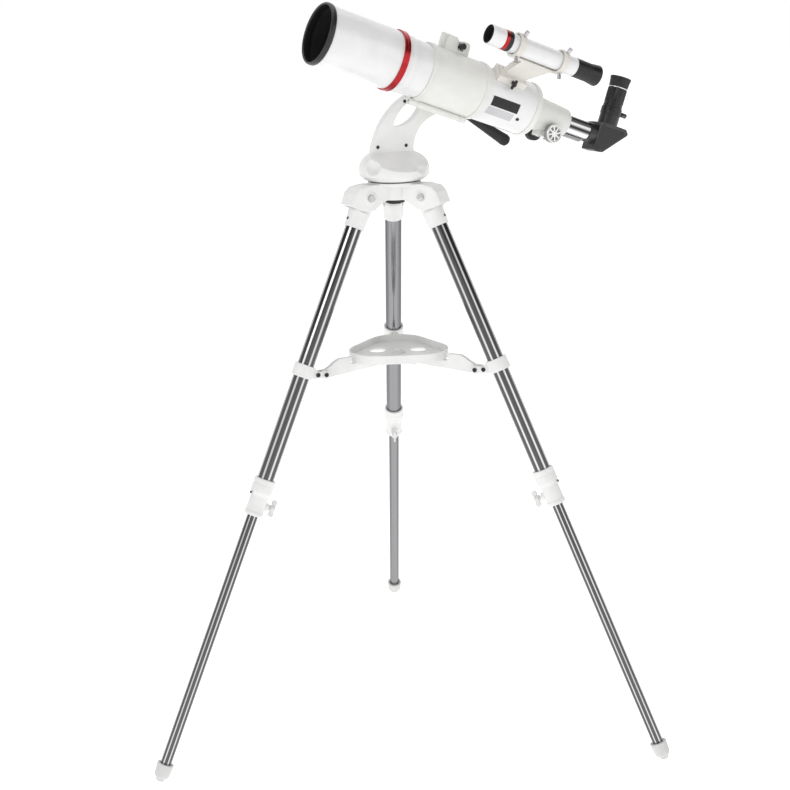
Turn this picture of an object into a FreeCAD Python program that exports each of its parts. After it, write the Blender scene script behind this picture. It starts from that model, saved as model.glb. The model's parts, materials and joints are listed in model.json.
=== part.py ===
import FreeCAD, Part
import math
import os

# Refractor telescope on a single-arm altazimuth mount and a folding steel tripod.
# Millimetres, +Z up, floor at Z = 0. The optical tube points towards -X and the arm
# stands on its +Y side. Every part is built with the azimuth axis on X = Y = 0 and moved to
# the row frame, whose origin is the bottom centre of the whole object, when it is written.

Vector = FreeCAD.Vector
Rotation = FreeCAD.Rotation
Placement = FreeCAD.Placement

# ---------------------------------------------------------------- driving dimensions
AZIMUTH_X, AZIMUTH_Y = 34.3, -26.4      # azimuth axis in the row frame

LEG_AZIMUTHS = (185.45, 305.45, 65.45)  # degrees about the azimuth axis
LEG_PIVOT_R, LEG_PIVOT_Z = 66.5, 1055.0
FOOT_R = 554.7                          # where the leg axis meets the floor
LEG_SPREAD = math.degrees(math.atan2(FOOT_R - LEG_PIVOT_R, LEG_PIVOT_Z))
LEG_LENGTH = math.hypot(FOOT_R - LEG_PIVOT_R, LEG_PIVOT_Z)

UPPER_TUBE_R, UPPER_TUBE_WALL = 16.0, 1.4
LOWER_TUBE_R, LOWER_TUBE_WALL = 10.75, 1.2
CAP_BOTTOM = 60.6                       # along the leg, down from its pivot
UPPER_TUBE_TOP, UPPER_TUBE_BOTTOM = 26.0, 580.8
LOCK_SCREW_DOWN, LOCK_SCREW_R = 606.0, 3.0
PIVOT_BOLT_R, BRACKET_BOLT_R, TRAY_SCREW_R = 3.95, 2.5, 3.0
BRACKET_DOWN = 341.0
COLLAR_TOP, COLLAR_BOTTOM = 554.8, 626.1
LOWER_TUBE_TOP = 548.0
RUNNING = 0.05                          # radial clearance of a shaft in its hole

ARM_PIVOT_IN, ARM_PIVOT_DOWN = 45.3, 334.9   # spreader arm's pivot, in leg coordinates
CLAMP_BOLT_IN, CLAMP_BOLT_DOWN = 28.0, 340.0
HUB_PIN_R, HUB_PIN_Z = 30.0, 738.0
PIN_DRIFT_IN, PIN_DRIFT_DOWN, PIN_DRIFT_UP = 12.1, 1.0, 3.5   # of a pin in its hub slot
HUB_PIN_RADIUS, ARM_END_R = 2.0, 3.6
TRAY_BOTTOM_Z, TRAY_TOP_Z = 745.5, 762.0
TRAY_CORNER_R, TRAY_SIDE_R = 101.5, 80.0
TRAY_HOLE_R, TRAY_HOLE_CIRCLE = 16.0, 46.0

HEAD_BOTTOM_Z, HEAD_TOP_Z = 1047.0, 1080.0
BASE_BOTTOM_Z, BASE_TOP_Z, BASE_R = 1082.0, 1134.0, 66.5
SPINDLE_R = 12.0
SCALLOP_AZIMUTHS = (205.5, 295.7, 25.5, 115.7)
SCALLOP_R, SCALLOP_OUT = 26.0, 80.0

ALTITUDE_X, ALTITUDE_Z = 91.4, 1258.6   # altitude axis, parallel to Y
TUBE_Y = -58.0                          # vertical plane of the optical tube
TUBE_ALTITUDE = 19.52                   # degrees that the tube points above the horizon
ARM_FRONT_Y, ARM_BACK_Y = 3.0, 21.0
ALTITUDE_SHAFT_R = 8.0

TUBE_R, TUBE_WALL = 50.0, 1.6
SHIELD_R, SHIELD_WALL = 53.2, 1.8
LIP_R, RED_RING_R, CELL_R = 55.3, 55.4, 51.6
LIP_FRONT, SHIELD_FRONT = 282.0, 271.3  # stations along the optical axis from the
RED_FRONT, RED_REAR = 133.2, 121.5      # altitude axis, positive to the front
CELL_REAR, TUBE_REAR = 103.0, -163.0
CONE_REAR, BODY_REAR = -190.3, -262.0
CRADLE_FRONT, CRADLE_REAR = 69.0, -56.7
CRADLE_IN_R, CRADLE_R, CRADLE_RIM_R = 50.2, 52.2, 53.6
HINGE_U, HINGE_R, HINGE_PIN_R = -57.3, 6.3, 2.5
SPLIT_GAP = 0.15                        # each half of the cradle from its centre plane
LATCH_U, LATCH_S, LATCH_R, LATCH_KNOB_R = 65.0, 3.5, 3.2, 5.6

DRAW_R, DRAW_IN_R = 18.5, 15.95
DRAW_FRONT, DRAW_REAR = -186.0, -316.0
RACK_HALF_WIDTH, PINION_HALF_WIDTH, PINION_SHAFT_R = 3.5, 4.0, 3.0
PINION_S, PINION_U = -223.6, -29.7
TOOTH_MODULE, PINION_TEETH = 1.0, 12
KNOB_R, KNOB_IN_W, KNOB_OUT_W = 17.5, 27.5, 40.5
BARREL_R = 15.875                       # 1.25 inch accessory barrel
DIAGONAL_S = -362.0                     # where the eyepiece axis crosses the optical axis
DIAGONAL_ENTRY, LIGHT_PATH_R = -333.0, 14.2
HOLDER_R, HOLDER_TOP = 19.5, 60.0
EYEPIECE_TOP = 120.0

FINDER_ANGLE, FINDER_RISE = 41.3, 121.2  # about the tube axis towards -Y, and from it
FINDER_FRONT, FINDER_REAR = -2.5, -250.0
FINDER_RINGS = (-67.0, -165.0)
SHOE_REAR, SHOE_FRONT, SHOE_SCREW_X, SHOE_SCREW_S = -128.0, -66.0, 57.5, -97.0

PARTS = {}


# ---------------------------------------------------------------- shape helpers
def cylinder(radius, start, end, axis=(0, 0, 1), centre=(0, 0, 0)):
    """Cylinder along axis through centre, from start to end along it."""
    direction = Vector(*axis).normalize()
    base = Vector(*centre) + direction * min(start, end)
    return Part.makeCylinder(radius, abs(end - start), base, direction)


def pipe(outer, inner, start, end, axis=(0, 0, 1), centre=(0, 0, 0)):
    """Cylinder with a bore right through it."""
    bore = cylinder(inner, min(start, end) - 1, max(start, end) + 1, axis, centre)
    return cylinder(outer, start, end, axis, centre).cut(bore)


def block(low, high):
    """Box between two corners."""
    size = Vector(*high) - Vector(*low)
    return Part.makeBox(size.x, size.y, size.z, Vector(*low))


def turned(profile):
    """Solid of revolution about Z from (radius, height) points."""
    points = [Vector(r, 0, z) for r, z in profile]
    wire = Part.makePolygon(points + [points[0]])
    return Part.Face(wire).revolve(Vector(0, 0, 0), Vector(0, 0, 1), 360)


def plate(points, thickness, start=0.0):
    """Flat plate in XZ with straight edges, from Y = start to start + thickness."""
    corners = [Vector(x, start, z) for x, z in points]
    wire = Part.makePolygon(corners + [corners[0]])
    return Part.Face(wire).extrude(Vector(0, thickness, 0))


def joined(*shapes):
    """One solid from shapes that overlap or touch."""
    result = shapes[0]
    for shape in shapes[1:]:
        result = result.fuse(shape)
    return result.removeSplitter()


def softened(shape, radius, chosen):
    """Fillet the edges for which chosen(edge) is true."""
    edges = [edge for edge in shape.Edges if chosen(edge)]
    return shape.makeFillet(radius, edges)


def keep(name, shape, placement=None):
    """Store a finished node, a solid or a group of solids."""
    shape = shape.copy()
    if placement is not None:
        shape.Placement = placement.multiply(shape.Placement)
    PARTS[name] = shape


def group(shapes):
    """Separate solids kept together in one node."""
    return Part.makeCompound(list(shapes))


# ---------------------------------------------------------------- local frames
def leg_frame(azimuth):
    """Leg coordinates: origin on the leg's pivot, -Z down the leg, +X outwards."""
    turn = Rotation(Vector(0, 0, 1), azimuth)
    tilt = Rotation(Vector(0, 1, 0), -LEG_SPREAD)
    origin = turn.multVec(Vector(LEG_PIVOT_R, 0, LEG_PIVOT_Z))
    return Placement(origin, turn.multiply(tilt))


def radial_frame(azimuth):
    """Turns the +X direction to a leg's azimuth about the azimuth axis."""
    return Placement(Vector(0, 0, 0), Rotation(Vector(0, 0, 1), azimuth))


def tube_frame():
    """Tube coordinates: +Z to the front along the optical axis, +X up, +Y to the arm."""
    tilt = Rotation(Vector(0, 1, 0), TUBE_ALTITUDE - 90)
    return Placement(Vector(ALTITUDE_X, TUBE_Y, ALTITUDE_Z), tilt)


def finder_frame():
    """Finder coordinates: tube coordinates turned so that +X leads to the finder."""
    return tube_frame().multiply(
        Placement(Vector(0, 0, 0), Rotation(Vector(0, 0, 1), -FINDER_ANGLE)))


# ---------------------------------------------------------------- tripod head
YOKE_HALF, CAVITY_HALF, CAP_HALF = 22.5, 17.0, 16.4


def yoke():
    """Hollow bracket that a leg turns in, on the +X side of the head."""
    outline = [(28, 1077), (68, 1078.5), (88, 1074.5), (98, 1065), (106.5, 1044),
               (101, 1041), (88, 1035), (74, 1031), (58, 1031.5), (46, 1040), (28, 1049)]
    body = plate(outline, 2 * YOKE_HALF, -YOKE_HALF)
    body = softened(body, 3.0, lambda e: abs(e.BoundBox.YLength) < 0.1
                    and e.BoundBox.ZMax > 1060 and e.BoundBox.XMin > 30)
    cavity = [(42, 1020), (42, 1064), (50, 1073.5), (68, 1074.5), (85, 1071),
              (94.2, 1061.5), (103.4, 1038), (108, 1020)]
    body = body.cut(plate(cavity, 2 * CAVITY_HALF, -CAVITY_HALF))
    bolt_hole = cylinder(4.0, -30, 30, (0, 1, 0), (LEG_PIVOT_R, 0, LEG_PIVOT_Z))
    washer_seat = pipe(12.0, 4.0, YOKE_HALF, YOKE_HALF + 1.2, (0, 1, 0),
                       (LEG_PIVOT_R, 0, LEG_PIVOT_Z))
    other_seat = pipe(12.0, 4.0, -YOKE_HALF - 1.2, -YOKE_HALF, (0, 1, 0),
                      (LEG_PIVOT_R, 0, LEG_PIVOT_Z))
    return body.cut(bolt_hole).fuse(washer_seat).fuse(other_seat)


def tripod_head():
    core = turned([(SPINDLE_R + RUNNING, HEAD_BOTTOM_Z), (31, HEAD_BOTTOM_Z),
                   (33, HEAD_BOTTOM_Z + 2), (33, 1070), (50, 1074), (50, HEAD_TOP_Z),
                   (SPINDLE_R + RUNNING, HEAD_TOP_Z)])
    head = core
    for azimuth in LEG_AZIMUTHS:
        arm = yoke()
        arm.Placement = radial_frame(azimuth)
        head = head.fuse(arm)
    bore = cylinder(SPINDLE_R + RUNNING, 1000, 1100)
    head = head.cut(bore).removeSplitter()
    keep("tripod_head", head)
    bolts = []
    for azimuth in LEG_AZIMUTHS:
        bolt = joined(
            cylinder(PIVOT_BOLT_R, -26.0, 26.0, (0, 1, 0), (LEG_PIVOT_R, 0, LEG_PIVOT_Z)),
            cylinder(6.5, -28.5, -23.9, (0, 1, 0), (LEG_PIVOT_R, 0, LEG_PIVOT_Z)),
            cylinder(6.5, 23.9, 28.5, (0, 1, 0), (LEG_PIVOT_R, 0, LEG_PIVOT_Z)))
        bolt.Placement = radial_frame(azimuth)
        bolts.append(bolt)
    keep("leg_pivot_bolts", group(bolts))


# ---------------------------------------------------------------- legs
def leg_cap():
    """Plastic end of a leg, with an eye for the pivot bolt and a socket for the tube."""
    eye = cylinder(15.0, -CAP_HALF, CAP_HALF, (0, 1, 0))
    neck = block((-14, -CAP_HALF, -34), (14, CAP_HALF, 0))
    sleeve = Part.makeCone(18.8, 21.0, 36.6, Vector(0, 0, -CAP_BOTTOM), Vector(0, 0, 1))
    sleeve = sleeve.fuse(Part.makeCone(21.0, 14.0, 9.0, Vector(0, 0, -24.0), Vector(0, 0, 1)))
    body = joined(eye, neck, sleeve)
    body = body.common(block((-30, -CAP_HALF - 6, -CAP_BOTTOM), (19.0, CAP_HALF + 6, 20)))
    side_cut_a = block((-30, CAP_HALF, -30), (30, 40, 30))
    side_cut_b = block((-30, -40, -30), (30, -CAP_HALF, 30))
    body = body.cut(side_cut_a).cut(side_cut_b)
    body = body.cut(cylinder(UPPER_TUBE_R, -CAP_BOTTOM - 1, -UPPER_TUBE_TOP))
    return body.cut(cylinder(PIVOT_BOLT_R + RUNNING, -30, 30, (0, 1, 0)))


def lock_boss_hole(radius):
    """Radial hole for the leg's locking screw, on its inner side."""
    return cylinder(radius, -30, -9.0, (1, 0, 0), (0, 0, -LOCK_SCREW_DOWN))


def leg_collar():
    """Stepped clamp sleeve at the lower end of the upper tube."""
    body = turned([(UPPER_TUBE_R, -UPPER_TUBE_BOTTOM), (UPPER_TUBE_R, -COLLAR_TOP),
                   (19.6, -COLLAR_TOP), (20.6, -COLLAR_TOP - 1.5), (20.6, -UPPER_TUBE_BOTTOM),
                   (18.4, -COLLAR_TOP - 30), (17.0, -COLLAR_TOP - 34),
                   (17.0, -COLLAR_BOTTOM + 8), (18.2, -COLLAR_BOTTOM + 7),
                   (18.2, -COLLAR_BOTTOM + 1), (17.2, -COLLAR_BOTTOM),
                   (LOWER_TUBE_R + RUNNING, -COLLAR_BOTTOM),
                   (LOWER_TUBE_R + RUNNING, -UPPER_TUBE_BOTTOM)])
    boss = cylinder(8.0, -23.0, -12.0, (1, 0, 0), (0, 0, -LOCK_SCREW_DOWN))
    body = body.fuse(boss)
    body = body.cut(cylinder(LOWER_TUBE_R + RUNNING, -700, -UPPER_TUBE_BOTTOM))
    return body.cut(lock_boss_hole(LOCK_SCREW_R + RUNNING)).removeSplitter()


def wing_screw(shank_r, shank, head_r, head, wing_span, wing_thick):
    """Thumbscrew along +Z: a shank from 0, then a round head with two flat wings."""
    top = shank + head
    parts = [cylinder(shank_r, 0, shank + 1), cylinder(head_r, shank, top)]
    for side in (-1, 1):
        parts.append(cylinder(wing_thick * 1.6, -wing_thick / 2, wing_thick / 2, (0, 1, 0),
                              (side * wing_span / 2, 0, shank + head * 0.75)))
    parts.append(block((-wing_span / 2, -wing_thick / 2, shank + head * 0.35),
                       (wing_span / 2, wing_thick / 2, top + 1.5)))
    return joined(*parts)


def foot():
    """Moulded foot: a tapered cap over the lower tube and a blunt nose, flat on the floor."""
    tip = -LEG_LENGTH
    return turned([(0, tip - 6), (7.0, tip - 6), (8.3, tip + 2), (8.3, tip + 9),
                   (13.2, tip + 14), (14.4, tip + 18), (15.8, tip + 36), (15.8, tip + 40),
                   (LOWER_TUBE_R, tip + 40), (LOWER_TUBE_R, tip + 20), (0, tip + 20)])


def tray_bracket():
    """Split ring on the upper tube with two cheeks that hold the spreader arm."""
    ring = pipe(20.8, UPPER_TUBE_R, -BRACKET_DOWN - 12, -BRACKET_DOWN + 12)
    cheeks = []
    for side in (-1, 1):
        low = 4.9 if side > 0 else -8.4
        outline = [(-16, -BRACKET_DOWN - 10), (-16, -BRACKET_DOWN + 10),
                   (-44, -ARM_PIVOT_DOWN + 8.5), (-45.3, -ARM_PIVOT_DOWN + 8.5),
                   (-45.3, -ARM_PIVOT_DOWN - 8.5), (-42, -ARM_PIVOT_DOWN - 8.5)]
        cheek = plate(outline, 3.5, low)
        cheek = cheek.fuse(cylinder(8.5, low, low + 3.5, (0, 1, 0),
                                    (-ARM_PIVOT_IN, 0, -ARM_PIVOT_DOWN)))
        cheeks.append(cheek)
    body = joined(ring, *cheeks).cut(cylinder(UPPER_TUBE_R, -400, -300))
    bolts = []
    for inward, down in ((ARM_PIVOT_IN, ARM_PIVOT_DOWN), (CLAMP_BOLT_IN, CLAMP_BOLT_DOWN)):
        centre = (-inward, 0, -down)
        body = body.cut(cylinder(BRACKET_BOLT_R, -12, 12, (0, 1, 0), centre))
        bolts.append(joined(cylinder(BRACKET_BOLT_R, -9.0, 9.0, (0, 1, 0), centre),
                            cylinder(4.4, -10.8, -8.4, (0, 1, 0), centre),
                            cylinder(4.4, 8.4, 10.8, (0, 1, 0), centre)))
    return body, bolts


def spreader_arm():
    """Link from a leg bracket to the hub under the tray, with a lug that stops the tray."""
    pivot = leg_frame(0).multVec(Vector(-ARM_PIVOT_IN, 0, -ARM_PIVOT_DOWN))
    half = 4.4
    outline = [(pivot.x, pivot.z - 7.5), (pivot.x + 1, pivot.z + 7.5), (152, 747), (145, 752),
               (134, 757), (108.5, 757), (107, 755.5), (107, 750), (109, 749), (109, 744),
               (34, 741.4), (29, 741.3), (29, 734.7), (60, 731)]
    body = plate(outline, 2 * half, -half)
    body = body.fuse(cylinder(7.5, -half, half, (0, 1, 0), (pivot.x, 0, pivot.z)))
    body = body.fuse(cylinder(ARM_END_R, -half, half, (0, 1, 0), (HUB_PIN_R, 0, HUB_PIN_Z)))
    body = body.cut(cylinder(BRACKET_BOLT_R + RUNNING, -20, 20, (0, 1, 0),
                             (pivot.x, 0, pivot.z)))
    trunnion = cylinder(HUB_PIN_RADIUS, -9.5, 9.5, (0, 1, 0), (HUB_PIN_R, 0, HUB_PIN_Z))
    return body.fuse(trunnion).removeSplitter()


def legs():
    bushing_top = -LOWER_TUBE_TOP
    for number, azimuth in enumerate(LEG_AZIMUTHS, start=1):
        frame = leg_frame(azimuth)
        keep("leg_cap_%d" % number, leg_cap(), frame)
        keep("leg_upper_tube_%d" % number,
             pipe(UPPER_TUBE_R, UPPER_TUBE_R - UPPER_TUBE_WALL, -UPPER_TUBE_BOTTOM, -UPPER_TUBE_TOP),
             frame)
        keep("leg_collar_%d" % number, leg_collar(), frame)
        lower = pipe(LOWER_TUBE_R, LOWER_TUBE_R - LOWER_TUBE_WALL, -LEG_LENGTH + 20, bushing_top)
        guide = pipe(UPPER_TUBE_R - UPPER_TUBE_WALL - RUNNING, LOWER_TUBE_R,
                     bushing_top - 16, bushing_top)
        keep("leg_lower_tube_%d" % number, joined(lower, guide), frame)
        pad = foot()
        pad.Placement = frame
        under_floor = block((-2000, -2000, -100), (2000, 2000, 0))
        keep("foot_%d" % number, pad.cut(under_floor))
        screw = wing_screw(LOCK_SCREW_R, 18.5, 6.0, 9.0, 22.0, 3.4)
        screw_frame = frame.multiply(Placement(Vector(-10.9, 0, -LOCK_SCREW_DOWN),
                                               Rotation(Vector(0, 0, 1), Vector(-1, 0, 0))))
        keep("leg_lock_screw_%d" % number, screw, screw_frame)
        bracket, bolts = tray_bracket()
        keep("tray_bracket_%d" % number, group([bracket] + bolts), frame)
        keep("spreader_arm_%d" % number, spreader_arm(), radial_frame(azimuth))


# ---------------------------------------------------------------- spreader hub and tray
def spreader_hub():
    """Centre piece with a pair of slotted ears for each arm's trunnion."""
    body = turned([(0, 730.5), (11.0, 730.5), (11.0, TRAY_BOTTOM_Z - 0.2),
                   (0, TRAY_BOTTOM_Z - 0.2)])
    room = HUB_PIN_RADIUS + 0.6
    slots = []
    for azimuth in LEG_AZIMUTHS:
        for side in (-1, 1):
            low = 5.2 if side > 0 else -8.4
            ear = block((0, low, 730.5), (42, low + 3.2, TRAY_BOTTOM_Z - 0.2))
            ear.Placement = radial_frame(azimuth)
            body = body.fuse(ear)
        slot = block((HUB_PIN_R - PIN_DRIFT_IN - room, -12, HUB_PIN_Z - PIN_DRIFT_DOWN - room),
                     (HUB_PIN_R + room, 12, HUB_PIN_Z + PIN_DRIFT_UP + room))
        slot.Placement = radial_frame(azimuth)
        slots.append(slot)
        lane = block((11.5, -5.2, 700), (60, 5.2, 760))
        lane.Placement = radial_frame(azimuth)
        slots.append(lane)
    for slot in slots:
        body = body.cut(slot)
    body = body.cut(cylinder(TRAY_SCREW_R + RUNNING, 700, 760))
    keep("spreader_hub", body.removeSplitter())


def tray_blank(inset, low, high):
    """Rounded triangle of the tray's outline, moved in by inset."""
    centre_r = 2 * (TRAY_CORNER_R - TRAY_SIDE_R)
    corner = TRAY_CORNER_R - centre_r - inset
    centres = [Vector(centre_r * math.cos(math.radians(a)),
                      centre_r * math.sin(math.radians(a)), low) for a in sorted(LEG_AZIMUTHS)]
    edges = []
    for index, azimuth in enumerate(sorted(LEG_AZIMUTHS)):
        centre = centres[index]
        ends = [centre + Vector(corner * math.cos(math.radians(azimuth + step)),
                                corner * math.sin(math.radians(azimuth + step)), 0)
                for step in (-60, 0, 60)]
        edges.append(Part.Arc(*ends).toShape())
        following = centres[(index + 1) % 3]
        start = ends[2]
        stop = following + Vector(corner * math.cos(math.radians(azimuth + 60)),
                                  corner * math.sin(math.radians(azimuth + 60)), 0)
        edges.append(Part.LineSegment(start, stop).toShape())
    return Part.Face(Part.Wire(edges)).extrude(Vector(0, 0, high - low))


def accessory_tray():
    floor_z = TRAY_BOTTOM_Z + 3.5
    body = tray_blank(0, TRAY_BOTTOM_Z, TRAY_TOP_Z)
    body = body.cut(tray_blank(2.6, floor_z, TRAY_TOP_Z + 1))
    body = body.fuse(cylinder(13.0, floor_z - 1, floor_z + 3.5))
    for azimuth in LEG_AZIMUTHS:
        angle = math.radians(azimuth + 60)
        centre = (TRAY_HOLE_CIRCLE * math.cos(angle), TRAY_HOLE_CIRCLE * math.sin(angle), 0)
        body = body.cut(cylinder(TRAY_HOLE_R, 700, 800, (0, 0, 1), centre))
    body = body.cut(cylinder(TRAY_SCREW_R + RUNNING, 700, 800))
    screw = joined(cylinder(TRAY_SCREW_R, 731.0, floor_z + 4),
                   cylinder(9.0, floor_z + 3.5, floor_z + 7.5))
    keep("accessory_tray", group([body.removeSplitter(), screw]))


# ---------------------------------------------------------------- mount
def mount_base():
    """Azimuth housing: a hollow domed drum with a sloping front and finger scallops."""
    shoulder = Part.Arc(Vector(44, 0, BASE_TOP_Z - 1), Vector(60, 0, 1121),
                        Vector(BASE_R, 0, 1101)).toShape()
    points = [Vector(BASE_R, 0, 1101), Vector(BASE_R - 0.8, 0, 1092), Vector(57, 0, 1084.5),
              Vector(49, 0, BASE_BOTTOM_Z), Vector(0, 0, BASE_BOTTOM_Z), Vector(0, 0, BASE_TOP_Z)]
    edges = [shoulder]
    for start, stop in zip(points, points[1:]):
        edges.append(Part.LineSegment(start, stop).toShape())
    edges.append(Part.LineSegment(points[-1], Vector(44, 0, BASE_TOP_Z - 1)).toShape())
    drum = Part.Face(Part.Wire(edges)).revolve(Vector(0, 0, 0), Vector(0, 0, 1), 360)
    slope = plate([(-100, 1134), (0, 1134), (0, 1160), (-100, 1160)], 200, -100)
    slope = slope.fuse(plate([(-100, 1088.5), (0, 1133), (0, 1140), (-100, 1140)], 200, -100))
    slope.Placement = Placement(Vector(0, ARM_FRONT_Y, 0), Rotation(Vector(0, 0, 1), 90))
    drum = drum.cut(slope)
    for azimuth in SCALLOP_AZIMUTHS:
        angle = math.radians(azimuth)
        centre = Vector(SCALLOP_OUT * math.cos(angle), SCALLOP_OUT * math.sin(angle), 1118.5)
        drum = drum.cut(Part.makeSphere(SCALLOP_R, centre))
    drum = drum.cut(pipe(44.0, 18.0, BASE_BOTTOM_Z - 1, BASE_BOTTOM_Z + 25))
    socket = cylinder(SPINDLE_R, BASE_BOTTOM_Z - 1, BASE_BOTTOM_Z + 24)
    keep("mount_base", drum.cut(socket).cut(arm_blank(0.0)).removeSplitter())
    spindle = joined(cylinder(SPINDLE_R, HEAD_BOTTOM_Z - 9, BASE_BOTTOM_Z + 24),
                     cylinder(19.0, HEAD_BOTTOM_Z - 6.5, HEAD_BOTTOM_Z - 0.2))
    washer = pipe(46.0, SPINDLE_R + 2.0, HEAD_TOP_Z + 0.1, BASE_BOTTOM_Z)
    keep("azimuth_spindle", group([spindle, washer]))


def arm_blank(grow):
    """Swan-neck outline of the arm, from its foot in the base to its round head."""
    def spot(x, z):
        return Vector(x, ARM_FRONT_Y - grow, z)
    left = Part.Arc(spot(-43, 1118), spot(-19, 1190), spot(30, 1234)).toShape()
    shoulder = Part.Arc(spot(30, 1234), spot(44, 1248), spot(58, 1284)).toShape()
    crown = Part.Arc(spot(58, 1284), spot(91.4, 1302), spot(133, 1269)).toShape()
    cheek = Part.Arc(spot(133, 1269), spot(126, 1226), spot(89.9, 1196)).toShape()
    throat = Part.Arc(spot(89.9, 1196), spot(57.5, 1174), spot(44, 1133)).toShape()
    heel = Part.LineSegment(spot(44, 1133), spot(44, 1118)).toShape()
    sole = Part.LineSegment(spot(44, 1118), spot(-43, 1118)).toShape()
    face = Part.Face(Part.Wire([left, shoulder, crown, cheek, throat, heel, sole]))
    return face.extrude(Vector(0, ARM_BACK_Y - ARM_FRONT_Y + 2 * grow, 0))


def arm_window():
    """Leaf-shaped window through the arm."""
    def spot(x, z):
        return Vector(x, ARM_FRONT_Y - 5, z)
    upper = Part.Arc(spot(4, 1186), spot(22, 1212), spot(52, 1228)).toShape()
    tip = Part.Arc(spot(52, 1228), spot(61, 1226), spot(62, 1217)).toShape()
    lower = Part.Arc(spot(62, 1217), spot(42, 1191), spot(9, 1179)).toShape()
    root = Part.Arc(spot(9, 1179), spot(4.5, 1181), spot(4, 1186)).toShape()
    face = Part.Face(Part.Wire([upper, tip, lower, root]))
    return face.extrude(Vector(0, 40, 0))


def arm():
    body = arm_blank(0.0).cut(arm_window())
    bearing = cylinder(ALTITUDE_SHAFT_R + RUNNING, -20, 60, (0, 1, 0),
                       (ALTITUDE_X, 0, ALTITUDE_Z))
    body = body.cut(bearing)
    screws = []
    for x, z in ((-30.5, 1143.5), (28.5, 1143.5), (27.5, 1224.5), (101, 1216)):
        hole = cylinder(3.4, ARM_FRONT_Y - 1, ARM_FRONT_Y + 9, (0, 1, 0), (x, 0, z))
        body = body.cut(hole)
        screws.append(cylinder(3.4, ARM_FRONT_Y + 1.2, ARM_FRONT_Y + 9, (0, 1, 0), (x, 0, z)))
    keep("arm", body)
    keep("arm_screws", group(screws))


# ---------------------------------------------------------------- altitude body
SHAFT_W_START, SHAFT_W_END = 55.0, 98.0   # across the tube from its centre plane
HANDLE_DROP, HANDLE_SLOPE, HANDLE_W, STEM_R = 14.0, 12.3, 88.5, 3.95


def half_shell(side):
    """Half of the cradle's sleeve on one side (+1 arm side, -1 open side) with its rims."""
    shell = pipe(CRADLE_R, CRADLE_IN_R, CRADLE_REAR, CRADLE_FRONT)
    for start, end, radius in ((CRADLE_FRONT - 5, CRADLE_FRONT, CRADLE_RIM_R - 0.7),
                               (CRADLE_FRONT - 10, CRADLE_FRONT - 5, CRADLE_RIM_R),
                               (CRADLE_REAR, CRADLE_REAR + 5, CRADLE_RIM_R - 0.7),
                               (CRADLE_REAR + 5, CRADLE_REAR + 10, CRADLE_RIM_R)):
        shell = shell.fuse(pipe(radius, CRADLE_IN_R, start, end))
    low, high = (SPLIT_GAP, 80) if side > 0 else (-80, -SPLIT_GAP)
    return shell.common(block((-80, low, -100), (80, high, 100)))


def hinge_knuckle(start, end):
    return cylinder(HINGE_R, start, end, (0, 0, 1), (HINGE_U, 0, 0))


def hinge_room(start, end):
    return cylinder(HINGE_R + 0.5, start - 0.3, end + 0.3, (0, 0, 1), (HINGE_U, 0, 0))


def cradle():
    frame = tube_frame()
    door_spans = ((56.0, 74.0), (-50.0, -36.0))
    back_span = (-35.5, 55.5)
    bore = cylinder(CRADLE_IN_R, -200, 200)
    pin_hole = cylinder(HINGE_PIN_R, -200, 200, (0, 0, 1), (HINGE_U, 0, 0))

    back = half_shell(1)
    for span in door_spans:
        back = back.cut(hinge_room(*span))
    rib = block((HINGE_U - 2.0, 2.0, back_span[0]), (HINGE_U + 12, 14.0, back_span[1]))
    boss = cylinder(27.0, 40, 60, (0, 1, 0)).fuse(cylinder(34.0, 40, 56, (0, 1, 0)))
    boss = boss.fuse(block((-30, 38, -48), (30, 51, 60)))
    ear = plate([(45, 42), (79.5, 42), (79.5, 19), (73, 17), (73, 10), (57, 10), (57, -3),
                 (76, -3), (76, -17), (45, -17)], 8.6, SPLIT_GAP)
    ear = ear.fuse(block((56, SPLIT_GAP, -3.5), (74, 8.6 + SPLIT_GAP, 10.5)))
    ear = ear.cut(cylinder(LATCH_R + RUNNING, -20, 20, (0, 1, 0), (LATCH_U, 0, LATCH_S)))
    back = back.fuse(hinge_knuckle(*back_span)).fuse(rib).fuse(boss).fuse(ear)
    back = back.cut(bore).cut(pin_hole)
    shaft_seat = cylinder(ALTITUDE_SHAFT_R, SHAFT_W_START, 70, (0, 1, 0))
    keep("cradle_back", back.cut(shaft_seat).removeSplitter(), frame)

    door = half_shell(-1).cut(hinge_room(*back_span))
    for span in door_spans:
        door = door.fuse(hinge_knuckle(*span))
    lug = plate([(45, 34), (72, 34), (78, 28), (78, 16), (72, 10), (57, 10), (57, -3),
                 (72, -3), (74, -6), (74, -12), (70, -15), (45, -15)], 7.0, -7.0 - SPLIT_GAP)
    door = door.fuse(lug).cut(bore).cut(pin_hole)
    keep("cradle_door", door.removeSplitter(), frame)

    keep("cradle_hinge_pin", cylinder(HINGE_PIN_R, -51.5, 75.5, (0, 0, 1), (HINGE_U, 0, 0)),
         frame)
    knob = joined(cylinder(LATCH_R, -8.0, 8.6 + SPLIT_GAP, (0, 1, 0), (LATCH_U, 0, LATCH_S)),
                  cylinder(LATCH_KNOB_R, -17.0, -7.3, (0, 1, 0), (LATCH_U, 0, LATCH_S)))
    keep("cradle_latch_bolt", knob, frame)


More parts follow.
